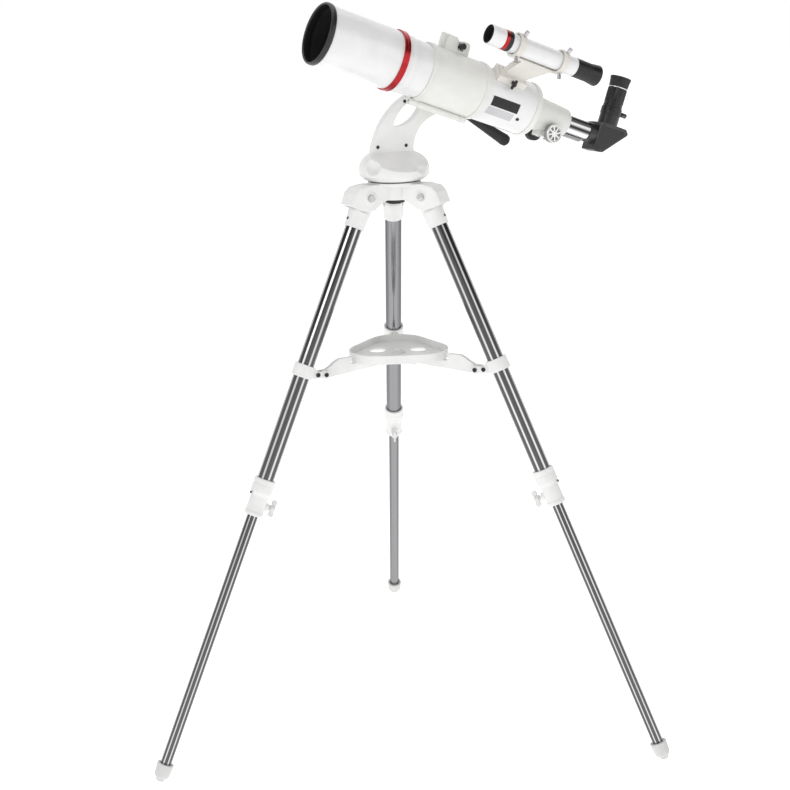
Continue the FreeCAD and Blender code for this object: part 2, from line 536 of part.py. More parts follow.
def altitude_drive():
    frame = tube_frame()
    shaft = cylinder(ALTITUDE_SHAFT_R, SHAFT_W_START, SHAFT_W_END, (0, 1, 0))
    keep("altitude_shaft", shaft, frame)
    turn = Rotation(Vector(0, 1, 0), HANDLE_SLOPE)
    stem_frame = Placement(Vector(-HANDLE_DROP, HANDLE_W, 0), turn)
    head = cylinder(21.0, HANDLE_W - 9, HANDLE_W + 9, (0, 1, 0))
    lug = cylinder(9.0, -40, 0)
    lug.Placement = stem_frame
    stem = cylinder(STEM_R, -130, -20)
    stem.Placement = stem_frame
    head = head.fuse(lug).fuse(stem).cut(cylinder(ALTITUDE_SHAFT_R, 60, 120, (0, 1, 0)))
    keep("handle_clamp", head.removeSplitter(), frame)
    grip = turned([(0, -212), (7.0, -212), (10.5, -209), (11.8, -203), (11.0, -190),
                   (6.8, -96), (5.6, -84), (STEM_R + RUNNING, -84), (STEM_R + RUNNING, -130.5),
                   (0, -130.5)])
    grip.Placement = stem_frame
    keep("handle_grip", grip, frame)


# ---------------------------------------------------------------- optical tube
def optical_tube():
    frame = tube_frame()
    keep("main_tube", pipe(TUBE_R, TUBE_R - TUBE_WALL, TUBE_REAR, CELL_REAR + 6), frame)
    cell = turned([(44.5, 112.0), (46.0, 112.0), (46.0, 131.0), (44.0, 131.0), (44.0, 139.0),
                   (SHIELD_R - SHIELD_WALL - 0.3, 139.0), (SHIELD_R - SHIELD_WALL - 0.3, RED_FRONT),
                   (CELL_R, RED_FRONT), (CELL_R, CELL_REAR), (TUBE_R, CELL_REAR),
                   (TUBE_R, CELL_REAR + 6), (TUBE_R - TUBE_WALL, CELL_REAR + 6),
                   (TUBE_R - TUBE_WALL, 112.0 - 3), (44.5, 112.0 - 3)])
    keep("lens_cell", cell, frame)
    keep("red_ring", pipe(RED_RING_R, CELL_R, RED_REAR, RED_FRONT), frame)
    shield = turned([(SHIELD_R - SHIELD_WALL, RED_FRONT), (SHIELD_R, RED_FRONT),
                     (SHIELD_R, SHIELD_FRONT), (SHIELD_R - SHIELD_WALL, SHIELD_FRONT)])
    keep("dew_shield", shield, frame)
    lip = turned([(50.4, SHIELD_FRONT - 4), (SHIELD_R - SHIELD_WALL, SHIELD_FRONT - 4),
                  (SHIELD_R - SHIELD_WALL, SHIELD_FRONT), (54.6, SHIELD_FRONT),
                  (LIP_R, SHIELD_FRONT + 2), (LIP_R, LIP_FRONT - 3), (54.2, LIP_FRONT - 0.8),
                  (52.8, LIP_FRONT), (51.4, LIP_FRONT - 0.8), (50.4, LIP_FRONT - 3)])
    keep("front_lip", lip, frame)
    crown = lens(46.0, 128.5, 2.6, 122.5, -2.6)
    flint = lens(46.0, 119.0, -2.6, 114.0, 1.0)
    keep("objective_lenses", group([crown, flint]), frame)


def lens(radius, front, front_rise, rear, rear_rise):
    """Round lens: stations of its two faces at the rim, and their rise at the centre."""
    body = cylinder(radius, rear + min(0.0, rear_rise), front + max(0.0, front_rise))
    for station, rise, facing in ((front, front_rise, 1), (rear, rear_rise, -1)):
        curve = (radius ** 2 + rise ** 2) / (2 * abs(rise))
        if rise * facing > 0:
            body = body.common(Part.makeSphere(curve, Vector(0, 0, station + rise - facing * curve)))
        else:
            body = body.cut(Part.makeSphere(curve, Vector(0, 0, station + rise + facing * curve)))
    return body


# ---------------------------------------------------------------- focuser
TOOTH_ROOT_HALF, TOOTH_TIP_HALF = 0.75, 0.32   # half widths, thin for backlash
RACK_ROOT_HALF = 0.72


def tooth_ring():
    """Pinion teeth about Z: narrow flat-topped teeth with backlash."""
    pitch_r = TOOTH_MODULE * PINION_TEETH / 2
    root_r, tip_r = pitch_r - 1.1, pitch_r + 0.75
    gear = cylinder(root_r, -PINION_HALF_WIDTH, PINION_HALF_WIDTH)
    for index in range(PINION_TEETH):
        outline = [(root_r - 0.5, -TOOTH_ROOT_HALF), (tip_r, -TOOTH_TIP_HALF),
                   (tip_r, TOOTH_TIP_HALF), (root_r - 0.5, TOOTH_ROOT_HALF)]
        corners = [Vector(x, y, -PINION_HALF_WIDTH) for x, y in outline]
        tooth = Part.makePolygon(corners + [corners[0]])
        solid = Part.Face(tooth).extrude(Vector(0, 0, 2 * PINION_HALF_WIDTH))
        solid.rotate(Vector(0, 0, 0), Vector(0, 0, 1), 360.0 * index / PINION_TEETH)
        gear = gear.fuse(solid)
    return gear.removeSplitter()


RACK_PITCH_U = PINION_U + TOOTH_MODULE * PINION_TEETH / 2
RACK_START, RACK_END = -310.0, -188.0


def rack():
    """Toothed strip under the drawtube, with a gap facing each pinion tooth at rest."""
    pitch = math.pi * TOOTH_MODULE
    back_u = -DRAW_R + 0.6
    root_u, tip_u = RACK_PITCH_U + 1.0, RACK_PITCH_U - 0.75
    points = [(back_u, RACK_START), (root_u, RACK_START)]
    first = math.ceil((RACK_START + 2 - PINION_S) / pitch - 0.5)
    last = math.floor((RACK_END - 2 - PINION_S) / pitch - 0.5)
    for index in range(first, last + 1):
        middle = PINION_S + (index + 0.5) * pitch
        points += [(root_u, middle - RACK_ROOT_HALF), (tip_u, middle - TOOTH_TIP_HALF),
                   (tip_u, middle + TOOTH_TIP_HALF), (root_u, middle + RACK_ROOT_HALF)]
    points += [(root_u, RACK_END), (back_u, RACK_END)]
    return plate(points, 2 * RACK_HALF_WIDTH, -RACK_HALF_WIDTH)


def focuser():
    frame = tube_frame()
    outer = [(0, TUBE_REAR + 12), (TUBE_R - TUBE_WALL, TUBE_REAR + 12),
             (TUBE_R - TUBE_WALL, TUBE_REAR), (51.4, TUBE_REAR), (51.4, TUBE_REAR - 8),
             (49.6, TUBE_REAR - 12), (45.0, TUBE_REAR - 16), (36.5, TUBE_REAR - 21),
             (32.2, CONE_REAR - 1), (31.2, CONE_REAR - 6), (27.0, BODY_REAR + 4),
             (26.4, BODY_REAR + 1), (25.0, BODY_REAR), (0, BODY_REAR)]
    body = turned(outer)
    inner = [(0, TUBE_REAR + 14), (46.0, TUBE_REAR + 14), (46.0, TUBE_REAR - 6),
             (40.0, TUBE_REAR - 14), (29.0, CONE_REAR + 2), (DRAW_R + 1.2, CONE_REAR),
             (DRAW_R + 1.2, BODY_REAR + 16), (DRAW_R + RUNNING, BODY_REAR + 16),
             (DRAW_R + RUNNING, BODY_REAR - 2), (0, BODY_REAR - 2)]
    housing = block((-39.5, -13.0, -243.0), (-16, 13.0, -205.0))
    housing = softened(housing, 5.0, lambda e: e.BoundBox.XMax < -39 and e.BoundBox.YLength < 1)
    bearing = cylinder(8.5, -19.0, 19.0, (0, 1, 0), (PINION_U, 0, PINION_S))
    body = body.fuse(housing).fuse(bearing).cut(turned(inner))
    body = body.cut(block((-26.0, -4.2, BODY_REAR - 2), (-15, 4.2, CONE_REAR + 2)))
    gear_room = cylinder(7.6, -5.0, 5.0, (0, 1, 0), (PINION_U, 0, PINION_S))
    shaft_hole = cylinder(PINION_SHAFT_R + RUNNING, -30, 30, (0, 1, 0),
                          (PINION_U, 0, PINION_S))
    keep("focuser_body", body.cut(gear_room).cut(shaft_hole).removeSplitter(), frame)

    draw = pipe(DRAW_R, DRAW_IN_R, DRAW_REAR, DRAW_FRONT).fuse(rack())
    keep("drawtube", draw.cut(cylinder(DRAW_IN_R, -400, 0)).removeSplitter(), frame)

    to_shaft = Placement(Vector(PINION_U, 0, PINION_S), Rotation(Vector(1, 0, 0), -90))
    gear = tooth_ring()
    shaft = joined(gear, cylinder(PINION_SHAFT_R, -KNOB_IN_W - 8, KNOB_IN_W + 8))
    keep("pinion_shaft", shaft, frame.multiply(to_shaft))
    knobs = []
    for side in (-1, 1):
        rim = turned([(PINION_SHAFT_R, 20.0), (7.4, 20.0), (10.0, KNOB_IN_W), (KNOB_R - 0.8, KNOB_IN_W),
                      (KNOB_R, KNOB_IN_W + 1), (KNOB_R, KNOB_OUT_W - 1),
                      (KNOB_R - 1, KNOB_OUT_W), (KNOB_R - 3, KNOB_OUT_W),
                      (KNOB_R - 3.4, KNOB_OUT_W - 2), (7.0, KNOB_OUT_W - 2),
                      (6.6, KNOB_OUT_W - 0.5), (0, KNOB_OUT_W - 0.5), (0, KNOB_IN_W + 8),
                      (PINION_SHAFT_R, KNOB_IN_W + 8)])
        if side < 0:
            rim.rotate(Vector(0, 0, 0), Vector(1, 0, 0), 180)
        knobs.append(rim)
    keep("focus_knobs", group(knobs), frame.multiply(to_shaft))


# ---------------------------------------------------------------- star diagonal, eyepiece
def star_diagonal():
    frame = tube_frame()
    entry = DIAGONAL_ENTRY
    half_width = 19.5
    nose = pipe(BARREL_R, LIGHT_PATH_R, entry, DRAW_REAR + 22)
    collar = pipe(19.6, LIGHT_PATH_R, entry, DRAW_REAR - 0.4)
    outline = [(23.5, entry), (26.0, entry - 8), (26.8, -396), (19.5, -402.5), (16.5, -402.5),
               (-29.5, -356.5), (-31.0, -350), (-31.0, entry)]
    body = plate(outline, 2 * half_width, -half_width)
    body = softened(body, 1.6, lambda e: e.BoundBox.YLength > 2 * half_width - 1)
    holder = cylinder(HOLDER_R, 20, HOLDER_TOP, (1, 0, 0), (0, 0, DIAGONAL_S))
    holder = holder.fuse(cylinder(HOLDER_R + 0.9, HOLDER_TOP - 14, HOLDER_TOP - 1, (1, 0, 0),
                                  (0, 0, DIAGONAL_S)))
    body = body.fuse(nose).fuse(collar).fuse(holder)
    light_path = cylinder(LIGHT_PATH_R, DIAGONAL_S - 2, DRAW_REAR + 30)
    eye_bore = cylinder(BARREL_R + 0.1, 26.5, HOLDER_TOP + 1, (1, 0, 0), (0, 0, DIAGONAL_S))
    eye_path = cylinder(LIGHT_PATH_R, 0, 30, (1, 0, 0), (0, 0, DIAGONAL_S))
    body = body.cut(light_path).cut(eye_bore).cut(eye_path)
    mirror = plate([(-15, DIAGONAL_S + 15), (-17.5, DIAGONAL_S + 15), (15, DIAGONAL_S - 17.5),
                   (15, DIAGONAL_S - 15)], 28.0, -14.0)
    pocket = plate([(-15, DIAGONAL_S + 16), (-17.5, DIAGONAL_S + 15), (15, DIAGONAL_S - 17.5),
                    (16, DIAGONAL_S - 15)], 28.0, -14.0)
    screw_hole = cylinder(2.05, -24.0, -14.0, (0, 0, 1), (53.0, 0, DIAGONAL_S))
    body = body.cut(pocket).cut(screw_hole).removeSplitter()
    keep("diagonal_body", group([body, mirror]), frame)
    screw = joined(cylinder(2.0, 0, 8.0), cylinder(3.2, 4.8, 9.5), cylinder(4.6, 9.5, 20.0))
    screw_frame = frame.multiply(Placement(Vector(53.0, 0, DIAGONAL_S - 16.2),
                                           Rotation(Vector(0, 1, 0), 180)))
    keep("diagonal_screw", screw, screw_frame)


def eyepiece():
    frame = tube_frame().multiply(
        Placement(Vector(0, 0, DIAGONAL_S), Rotation(Vector(0, 1, 0), 90)))
    body = turned([(13.5, 34.0), (BARREL_R, 34.0), (BARREL_R, HOLDER_TOP + 0.3),
                   (18.4, HOLDER_TOP + 0.3), (18.8, HOLDER_TOP + 2), (18.8, 98), (18.2, 100),
                   (18.6, 102), (20.0, EYEPIECE_TOP - 5), (20.8, EYEPIECE_TOP - 1.5),
                   (20.3, EYEPIECE_TOP), (19.0, EYEPIECE_TOP - 0.6), (16.0, EYEPIECE_TOP - 9),
                   (13.5, EYEPIECE_TOP - 10)])
    keep("eyepiece_body", body, frame)
    keep("eyepiece_lenses", group([lens(13.5, 108.0, 1.6, 103.0, -1.0),
                                   lens(13.5, 62.0, 1.2, 57.0, -1.2)]), frame)


# ---------------------------------------------------------------- finder
def finder():
    frame = finder_frame()
    rise = FINDER_RISE
    shoe = block((TUBE_R - 3, -17, SHOE_REAR), (60.5, 17, SHOE_FRONT))
    shoe = shoe.cut(cylinder(TUBE_R, -300, 0))
    groove = Part.makePolygon([Vector(54.5, -13.0, SHOE_REAR - 1), Vector(61, -9.0, SHOE_REAR - 1),
                               Vector(61, 9.0, SHOE_REAR - 1), Vector(54.5, 13.0, SHOE_REAR - 1),
                               Vector(54.5, -13.0, SHOE_REAR - 1)])
    shoe = shoe.cut(Part.Face(groove).extrude(Vector(0, 0, 61)))
    shoe = shoe.cut(cylinder(2.05, -30, 0, (0, 1, 0), (SHOE_SCREW_X, 0, SHOE_SCREW_S)))
    keep("finder_shoe", shoe.removeSplitter(), frame)

    foot_wire = Part.makePolygon([Vector(54.6, -12.8, -127.5), Vector(60.6, -9.1, -127.5),
                                  Vector(60.6, 9.1, -127.5), Vector(54.6, 12.8, -127.5),
                                  Vector(54.6, -12.8, -127.5)])
    foot_bar = Part.Face(foot_wire).extrude(Vector(0, 0, 58))
    stalk = plate([(60, -122), (60, -78), (76, -82), (rise - 23, -92), (rise - 20, -92),
                   (rise - 20, -158), (rise - 23, -158)], 14.0, -7.0)
    bar = block((rise - 24, -8.0, -172), (rise - 19, 8.0, -60))
    body = foot_bar.fuse(stalk).fuse(bar)
    for middle in FINDER_RINGS:
        body = body.fuse(cylinder(21.7, middle - 6, middle + 6, (0, 0, 1), (rise, 0, 0)))
    hollow = cylinder(18.6, -400, 100, (0, 0, 1), (rise, 0, 0))
    body = body.cut(hollow)
    screws = []
    for middle in FINDER_RINGS:
        for angle in (0, 120, 240):
            turn = Placement(Vector(rise, 0, middle), Rotation(Vector(0, 0, 1), angle))
            hole = cylinder(1.8, 15, 30, (1, 0, 0))
            hole.Placement = turn
            body = body.cut(hole)
            screw = joined(cylinder(1.75, 17.2, 27, (1, 0, 0)),
                           cylinder(3.6, 25.5, 32.5, (1, 0, 0)))
            screw.Placement = turn
            screws.append(screw)
    keep("finder_bracket", body.removeSplitter(), frame)
    keep("finder_screws", group(screws), frame)

    scope = frame.multiply(Placement(Vector(rise, 0, 0), Rotation()))
    tube = turned([(15.2, FINDER_FRONT), (18.0, FINDER_FRONT), (18.0, -30.5), (18.4, -31),
                   (18.4, -47), (17.1, -48.5), (17.1, -195), (14.0, -195), (14.0, -60),
                   (15.2, -58)])
    keep("finder_tube", tube, scope)
    eye = turned([(9.0, -195), (17.4, -195), (17.4, -232), (18.0, -234), (19.6, FINDER_REAR + 3),
                  (19.6, FINDER_REAR), (17.6, FINDER_REAR), (13.0, FINDER_REAR + 7),
                  (9.0, FINDER_REAR + 7)])
    keep("finder_eyepiece", eye, scope)
    keep("finder_lenses", group([lens(15.2, -18.0, 1.4, -22.0, -1.2),
                                 lens(9.0, -236.0, 1.0, -239.0, -0.8)]), scope)
    screw = wing_screw(2.0, 8.5, 4.6, 6.5, 13.0, 2.4)
    screw_frame = frame.multiply(Placement(Vector(SHOE_SCREW_X, -12.5, SHOE_SCREW_S),
                                           Rotation(Vector(0, 0, 1), Vector(0, -1, 0))))
    keep("shoe_screw", screw, screw_frame)


# ---------------------------------------------------------------- build and write
def main():
    tripod_head()
    legs()
    spreader_hub()
    accessory_tray()
    mount_base()
    arm()
    cradle()
    altitude_drive()
    optical_tube()
    focuser()
    star_diagonal()
    eyepiece()
    finder()
    os.makedirs("parts", exist_ok=True)
    whole = FreeCAD.BoundBox()
    for name, shape in PARTS.items():
        moved = shape.copy()
        moved.translate(Vector(AZIMUTH_X, AZIMUTH_Y, 0))
        if not moved.isValid():
            print("not valid:", name)
        whole.add(moved.optimalBoundingBox(False))
        moved.exportStep("parts/%s.step" % name)
    print(len(PARTS), "nodes; X %.2f %.2f  Y %.2f %.2f  Z %.2f %.2f" % (
        whole.XMin, whole.XMax, whole.YMin, whole.YMax, whole.ZMin, whole.ZMax))


main()
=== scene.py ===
import json
import math

import bmesh
import bpy
from mathutils import Matrix, Vector


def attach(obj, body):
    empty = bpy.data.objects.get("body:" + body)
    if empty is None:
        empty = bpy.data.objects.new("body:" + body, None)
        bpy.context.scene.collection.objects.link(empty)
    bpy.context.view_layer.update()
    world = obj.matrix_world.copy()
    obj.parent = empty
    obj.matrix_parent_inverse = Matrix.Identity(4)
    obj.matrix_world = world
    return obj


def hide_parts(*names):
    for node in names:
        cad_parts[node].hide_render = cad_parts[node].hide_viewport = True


# Looks of a refractor telescope on a single-arm mount and tripod. Local measures are in
# millimetres; each frame below turns them into the row frame, which is in metres.

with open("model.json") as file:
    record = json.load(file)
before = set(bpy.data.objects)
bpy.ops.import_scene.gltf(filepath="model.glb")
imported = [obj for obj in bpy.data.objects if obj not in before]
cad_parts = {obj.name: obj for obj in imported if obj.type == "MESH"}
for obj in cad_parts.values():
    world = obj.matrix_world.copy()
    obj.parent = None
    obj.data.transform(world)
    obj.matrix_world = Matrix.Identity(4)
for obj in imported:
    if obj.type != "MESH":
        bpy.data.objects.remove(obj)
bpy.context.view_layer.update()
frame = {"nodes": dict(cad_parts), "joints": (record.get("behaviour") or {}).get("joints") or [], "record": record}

MM = 0.001
LEGS = (1, 2, 3)
SIDES = {"near": -1, "far": 1}               # along local Y
JOINTS = {joint["name"]: joint for joint in frame["joints"]}
BODY = {node: body for body, members in frame["record"]["behaviour"]["bodies"].items()
        for node in members}
SLOT = {entry["node"]: entry["material_slot"] for entry in frame["record"]["subparts"]}
TUBE = BODY["main_tube"]
OPEN_SIDE = Vector((-0.454, -0.891, 0.0))    # level, away from the mount's arm
SLIP = 0.02                                  # gap between a sleeve and what it sits on

# Optical tube: radii, and stations along the axis from the altitude axis, positive forwards
TUBE_R, TUBE_WALL, TUBE_REAR = 50.0, 1.6, -163.0
CELL_R, CELL_REAR, CELL_OVERLAP = 51.6, 103.0, 6.0
RING_R, RING_REAR, RING_FRONT = 55.4, 121.5, 133.2
SHIELD_R, SHIELD_WALL, SHIELD_FRONT = 53.2, 1.8, 271.3
LIP_R, LIP_BORE, LIP_FRONT = 55.3, 50.4, 282.0
HINGE_DROP, HINGE_REAR, HINGE_FRONT = 57.3, -51.4, 75.4
HINGE_R = 2.3                                # slimmer than its hole, so that the door clears it
LABEL_GAP, LABEL_SKIN, LABEL_ROWS, LABEL_COLUMNS = 0.05, 0.35, 10, 12
SIDE_SCREW_S, SIDE_SCREW_ANGLE = -134.0, 34.0

# Focuser and diagonal
BODY_REAR = -262.0
PINION_U, PINION_S = -29.7, -223.6
RACK_ROOM, RACK_ROOM_FRONT = 4.2, -166.0     # half width and front end of the rack's slot
KNOB_R, KNOB_IN, KNOB_OUT, KNOB_BORE, SPOKES = 17.5, 27.5, 40.5, 3.1, 8
DIAGONAL_S, DIAGONAL_SIDE = -362.0, 19.5
HOLDER_TOP, EYEPIECE_TOP, BARREL_R = 60.0, 120.0, 15.875
FINDER_ANGLE, FINDER_RISE = 41.3, 121.2

# Legs: heights are measured down from the pivot
LEG_LENGTH, LEG_R, LEG_WALL, LEG_TOP = 1162.5, 16.0, 1.4, 26.0
LOWER_R, LOWER_WALL, LOWER_TOP, PLUG = 10.75, 1.2, 548.0, 20.0
COLLAR_TOP, COLLAR_BOTTOM, COLLAR_R, SOCKET = 554.8, 626.1, 20.6, 26.0
BRACKET_TOP, BRACKET_BOTTOM, BRACKET_R = 329.0, 353.0, 20.8
BRACKET_BOLTS = ((45.3, 334.9), (28.0, 340.0))     # inwards and down: the arm's, the clamp's
CHEEK_OUT, CHEEK_THICK, BOLT_FACE = 6.65, 3.5, 8.4

# Side counts of turned pieces
FINE, ROUND, MEDIUM, COARSE = 192, 160, 128, 96


# ---------------------------------------------------------------- frames
def placed(origin, x, y, z):
    """Matrix from local millimetres to the row frame."""
    turn = Matrix((x, y, z)).transposed().to_4x4()
    return Matrix.Translation(origin) @ turn @ Matrix.Scale(MM, 4)


def tube_frame():
    """+Z to the front along the optical axis, +X up, +Y towards the arm."""
    front = -Vector(JOINTS["focus_travel"]["axis"])
    side = Vector(JOINTS["altitude"]["axis"])
    return placed(Vector(JOINTS["altitude"]["pos_m"]), side.cross(front), side, front)


def leg_frame(number):
    """+Z up along the leg to its pivot, +X outwards."""
    along = Vector(JOINTS["leg_extend_%d" % number]["axis"])
    fold = JOINTS["leg_fold_%d" % number]
    hinge = Vector(fold["axis"])
    return placed(Vector(fold["pos_m"]), hinge.cross(along), hinge, along)


def shifted(base, offset=(0, 0, 0), axis="Z", degrees=0.0):
    """A frame moved by offset in its own millimetres, then turned about one of its axes."""
    return base @ Matrix.Translation(offset) @ Matrix.Rotation(math.radians(degrees), 4, axis)


OTA = tube_frame()     # optical tube assembly
FINDER = shifted(shifted(OTA, degrees=-FINDER_ANGLE), (FINDER_RISE, 0, 0))
EYE = shifted(OTA, (0, 0, DIAGONAL_S), "Y", 90)


# ---------------------------------------------------------------- shader nodes
def feed(tree, socket, value):
    """Links an output to a socket, or sets the socket's own value."""
    if isinstance(value, bpy.types.NodeSocket):
        tree.links.new(value, socket)
    else:
        socket.default_value = value


def noise(tree, vector, scale, detail):
    node = tree.nodes.new("ShaderNodeTexNoise")
    node.inputs["Scale"].default_value = scale
    node.inputs["Detail"].default_value = detail
    tree.links.new(vector, node.inputs["Vector"])
    return node.outputs["Fac"]


def ramp(tree, factor, low, high, start=0.3, end=0.7):
    """Colour that goes from low to high while factor goes from start to end."""
    node = tree.nodes.new("ShaderNodeValToRGB")
    node.color_ramp.elements[0].position = start
    node.color_ramp.elements[1].position = end
    node.color_ramp.elements[0].color = (*low, 1)
    node.color_ramp.elements[1].color = (*high, 1)
    tree.links.new(factor, node.inputs["Fac"])
    return node.outputs["Color"]


def mixed(tree, factor, first, second, blend="MIX"):
    node = tree.nodes.new("ShaderNodeMix")
    node.data_type = "RGBA"
    node.blend_type = blend
    feed(tree, node.inputs["Factor"], factor)
    feed(tree, node.inputs["A"], first)
    feed(tree, node.inputs["B"], second)
    return node.outputs["Result"]


def maths(tree, operation, *values):
    node = tree.nodes.new("ShaderNodeMath")
    node.operation = operation
    for socket, value in zip(node.inputs, values):
        feed(tree, socket, value)
    return node.outputs[0]


def map_range(tree, value, low, high):
    """0 at low, 1 at high."""
    node = tree.nodes.new("ShaderNodeMapRange")
    node.inputs["From Min"].default_value = low
    node.inputs["From Max"].default_value = high
    tree.links.new(value, node.inputs["Value"])
    return node.outputs["Result"]


def drawn_out(tree, vector, along):
    """Coordinates in which a pattern is a hundred times longer in one direction."""
    turn = tree.nodes.new("ShaderNodeMapping")
    turn.inputs["Rotation"].default_value = \
        Vector(along).rotation_difference(Vector((0, 0, 1))).to_euler()
    stretch = tree.nodes.new("ShaderNodeMapping")
    stretch.inputs["Scale"].default_value = (1, 1, 0.01)
    tree.links.new(vector, turn.inputs["Vector"])
    tree.links.new(turn.outputs["Vector"], stretch.inputs["Vector"])
    return stretch.outputs["Vector"]


def worn(tree, tone, edge_colour):
    """Tone with another colour showing along sharp edges."""
    geometry = tree.nodes.new("ShaderNodeNewGeometry")
    edge = ramp(tree, geometry.outputs["Pointiness"], (0, 0, 0), (0.6, 0.6, 0.6), 0.53, 0.6)
    return mixed(tree, edge, tone, (*edge_colour, 1))


def painted_reflection_bands(tree, tone, along, count, darkest, width, open_side_bright=False):
    """Tone times painted reflections: lengthwise dark and bright stripes round an axis, as on drawn tube, set by
    which way the surface faces.

    width is the bright share of each wave.
    """
    axis = Vector(along)
    across = (OPEN_SIDE - axis * OPEN_SIDE.dot(axis)).normalized()
    facing = tree.nodes.new("ShaderNodeTexCoord").outputs["Normal"]
    parts = []
    for direction in (across, axis.cross(across)):
        dot = tree.nodes.new("ShaderNodeVectorMath")
        dot.operation = "DOT_PRODUCT"
        dot.inputs[1].default_value = direction
        tree.links.new(facing, dot.inputs[0])
        parts.append(dot.outputs["Value"])
    angle = maths(tree, "ARCTAN2", parts[1], parts[0])
    # The phase picks which side gets the brightest painted stripe.
    start = 0.0 if open_side_bright else math.pi
    wave = maths(tree, "COSINE", maths(tree, "MULTIPLY_ADD", angle, float(count), start))
    level = maths(tree, "MULTIPLY_ADD", wave, 0.5, 0.5)
    shades = ramp(tree, level, [darkest] * 3, (1, 1, 1), 1 - width, 1 - width * 0.15)
    return mixed(tree, 1.0, tone, shades, "MULTIPLY")


# ---------------------------------------------------------------- materials
def finish(name, colour, rough, metal=0.0, vary=0.04, grain=900.0, bump=0.06, coat=0.0,
           along=None, wear=None, reflection_bands=None):
    """Painted, moulded or metal surface with mottled colour, uneven gloss and fine grain.

    along draws the grain out in one direction; wear is the colour that shows on edges;
    The last argument is (count, darkest, width) of painted reflections, dark and bright stripes in the base colour
    round that direction, for drawn or polished metal.
    """
    material = bpy.data.materials.new(name)
    material.use_nodes = True
    tree = material.node_tree
    shader = tree.nodes["Principled BSDF"]
    shader.inputs["Metallic"].default_value = metal
    shader.inputs["Coat Weight"].default_value = coat
    shader.inputs["Coat Roughness"].default_value = 0.08
    vector = tree.nodes.new("ShaderNodeTexCoord").outputs["Object"]
    if along is not None:
        vector = drawn_out(tree, vector, along)
    dark = [c * (1 - vary) for c in colour]
    light = [min(1.0, c * (1 + vary)) for c in colour]
    tone = ramp(tree, noise(tree, vector, grain * 0.03, 4), dark, light)
    if wear is not None:
        tone = worn(tree, tone, wear)
    # Painted reflections: dark and bright stripes multiplied into the base colour.
    if reflection_bands is not None:
        tone = painted_reflection_bands(tree, tone, along, *reflection_bands)
    tree.links.new(tone, shader.inputs["Base Color"])
    gloss = ramp(tree, noise(tree, vector, grain * 0.08, 3), [max(0.02, rough * 0.85)] * 3,
                 [min(1, rough * 1.2)] * 3)
    tree.links.new(gloss, shader.inputs["Roughness"])
    relief = tree.nodes.new("ShaderNodeBump")
    relief.inputs["Strength"].default_value = bump
    relief.inputs["Distance"].default_value = 0.0002
    tree.links.new(noise(tree, vector, grain, 2), relief.inputs["Height"])
    tree.links.new(relief.outputs["Normal"], shader.inputs["Normal"])
    return material


def coated_glass(name, tint):
    """Lens glass with a faint coating colour that varies over its face."""
    material = finish(name, tint, 0.03, vary=0.15, bump=0.0, grain=300)
    shader = material.node_tree.nodes["Principled BSDF"]
    shader.inputs["Transmission Weight"].default_value = 0.9
    shader.inputs["IOR"].default_value = 1.52
    return material


def leg_steel(number):
    """Drawn stainless tube with painted reflections: fine bright and dark stripes on the open-side legs; on the
    third a darker base colour as painted shade, and one broad dull painted sheen.
    """
    open_side = number < 3
    return finish("stainless_painted_reflections_%d" % number,
                  # The third leg's darker base colour is painted shade; the steel is the same on all three.
                  (0.62, 0.62, 0.63) if open_side else (0.30, 0.30, 0.31), 0.20, metal=1.0,
                  vary=0.06, bump=0.04, grain=2500.0,
                  along=JOINTS["leg_extend_%d" % number]["axis"],
                  reflection_bands=(8, 0.17, 0.34) if open_side else (2, 0.10, 1.0, True))


LOOKS = {
    "white_plastic": finish("moulded_white", (0.80, 0.80, 0.79), 0.38, bump=0.10),
    "grey_plastic": finish("moulded_light_grey", (0.72, 0.72, 0.71), 0.42, bump=0.10),
    "foot_rubber": finish("moulded_foot", (0.66, 0.66, 0.65), 0.65, bump=0.25),
    "screw_steel": finish("turned_steel", (0.50, 0.50, 0.51), 0.28, metal=1.0,
                          wear=(0.8, 0.8, 0.8)),
    "dark_screw": finish("black_oxide", (0.03, 0.03, 0.032), 0.35, metal=0.6,
                         wear=(0.25, 0.25, 0.25)),
    "mount_paint": finish("mount_satin_paint", (0.78, 0.78, 0.77), 0.36, bump=0.14, coat=0.15),
    "cradle_paint": finish("cradle_warm_paint", (0.72, 0.72, 0.69), 0.36, bump=0.12, coat=0.15),
    "tube_paint": finish("tube_gloss_paint", (0.76, 0.76, 0.76), 0.16, bump=0.03, coat=0.5),
    "bracket_paint": finish("bracket_beige_paint", (0.70, 0.68, 0.63), 0.38, bump=0.12),
    "red_metal": finish("red_anodised", (0.42, 0.006, 0.010), 0.22, metal=0.85, coat=0.4),
    "black_plastic": finish("moulded_black", (0.010, 0.010, 0.011), 0.36, bump=0.12,
                            wear=(0.05, 0.05, 0.05)),
    "black_rubber": finish("grip_rubber", (0.010, 0.010, 0.010), 0.62, bump=0.35),
    "black_metal": finish("black_anodised", (0.010, 0.010, 0.012), 0.30, metal=0.2,
                          wear=(0.07, 0.07, 0.07)),
    # The drawtube's chrome carries painted reflections: six dark and bright stripes round the focus axis in its
    # base colour.
    "chrome": finish("polished_chrome", (0.86, 0.86, 0.88), 0.09, metal=1.0, vary=0.02,
                     bump=0.01, along=JOINTS["focus_travel"]["axis"], reflection_bands=(6, 0.05, 0.95)),
    "knob_metal": finish("knob_satin_metal", (0.72, 0.72, 0.71), 0.27, metal=0.9),
    "knob_recess": finish("knob_recess_grey", (0.30, 0.30, 0.30), 0.4, metal=0.4),
    "glass": coated_glass("coated_glass", (0.80, 0.92, 0.86)),
    "flocking": finish("inner_flat_black", (0.006, 0.006, 0.006), 0.95, bump=0.5),
    "silver_label": finish("label_silver", (0.52, 0.52, 0.53), 0.35, metal=0.6),
    "black_label": finish("label_black", (0.004, 0.004, 0.005), 0.5),
}
for leg_number in LEGS:
    LOOKS["leg_steel_%d" % leg_number] = leg_steel(leg_number)


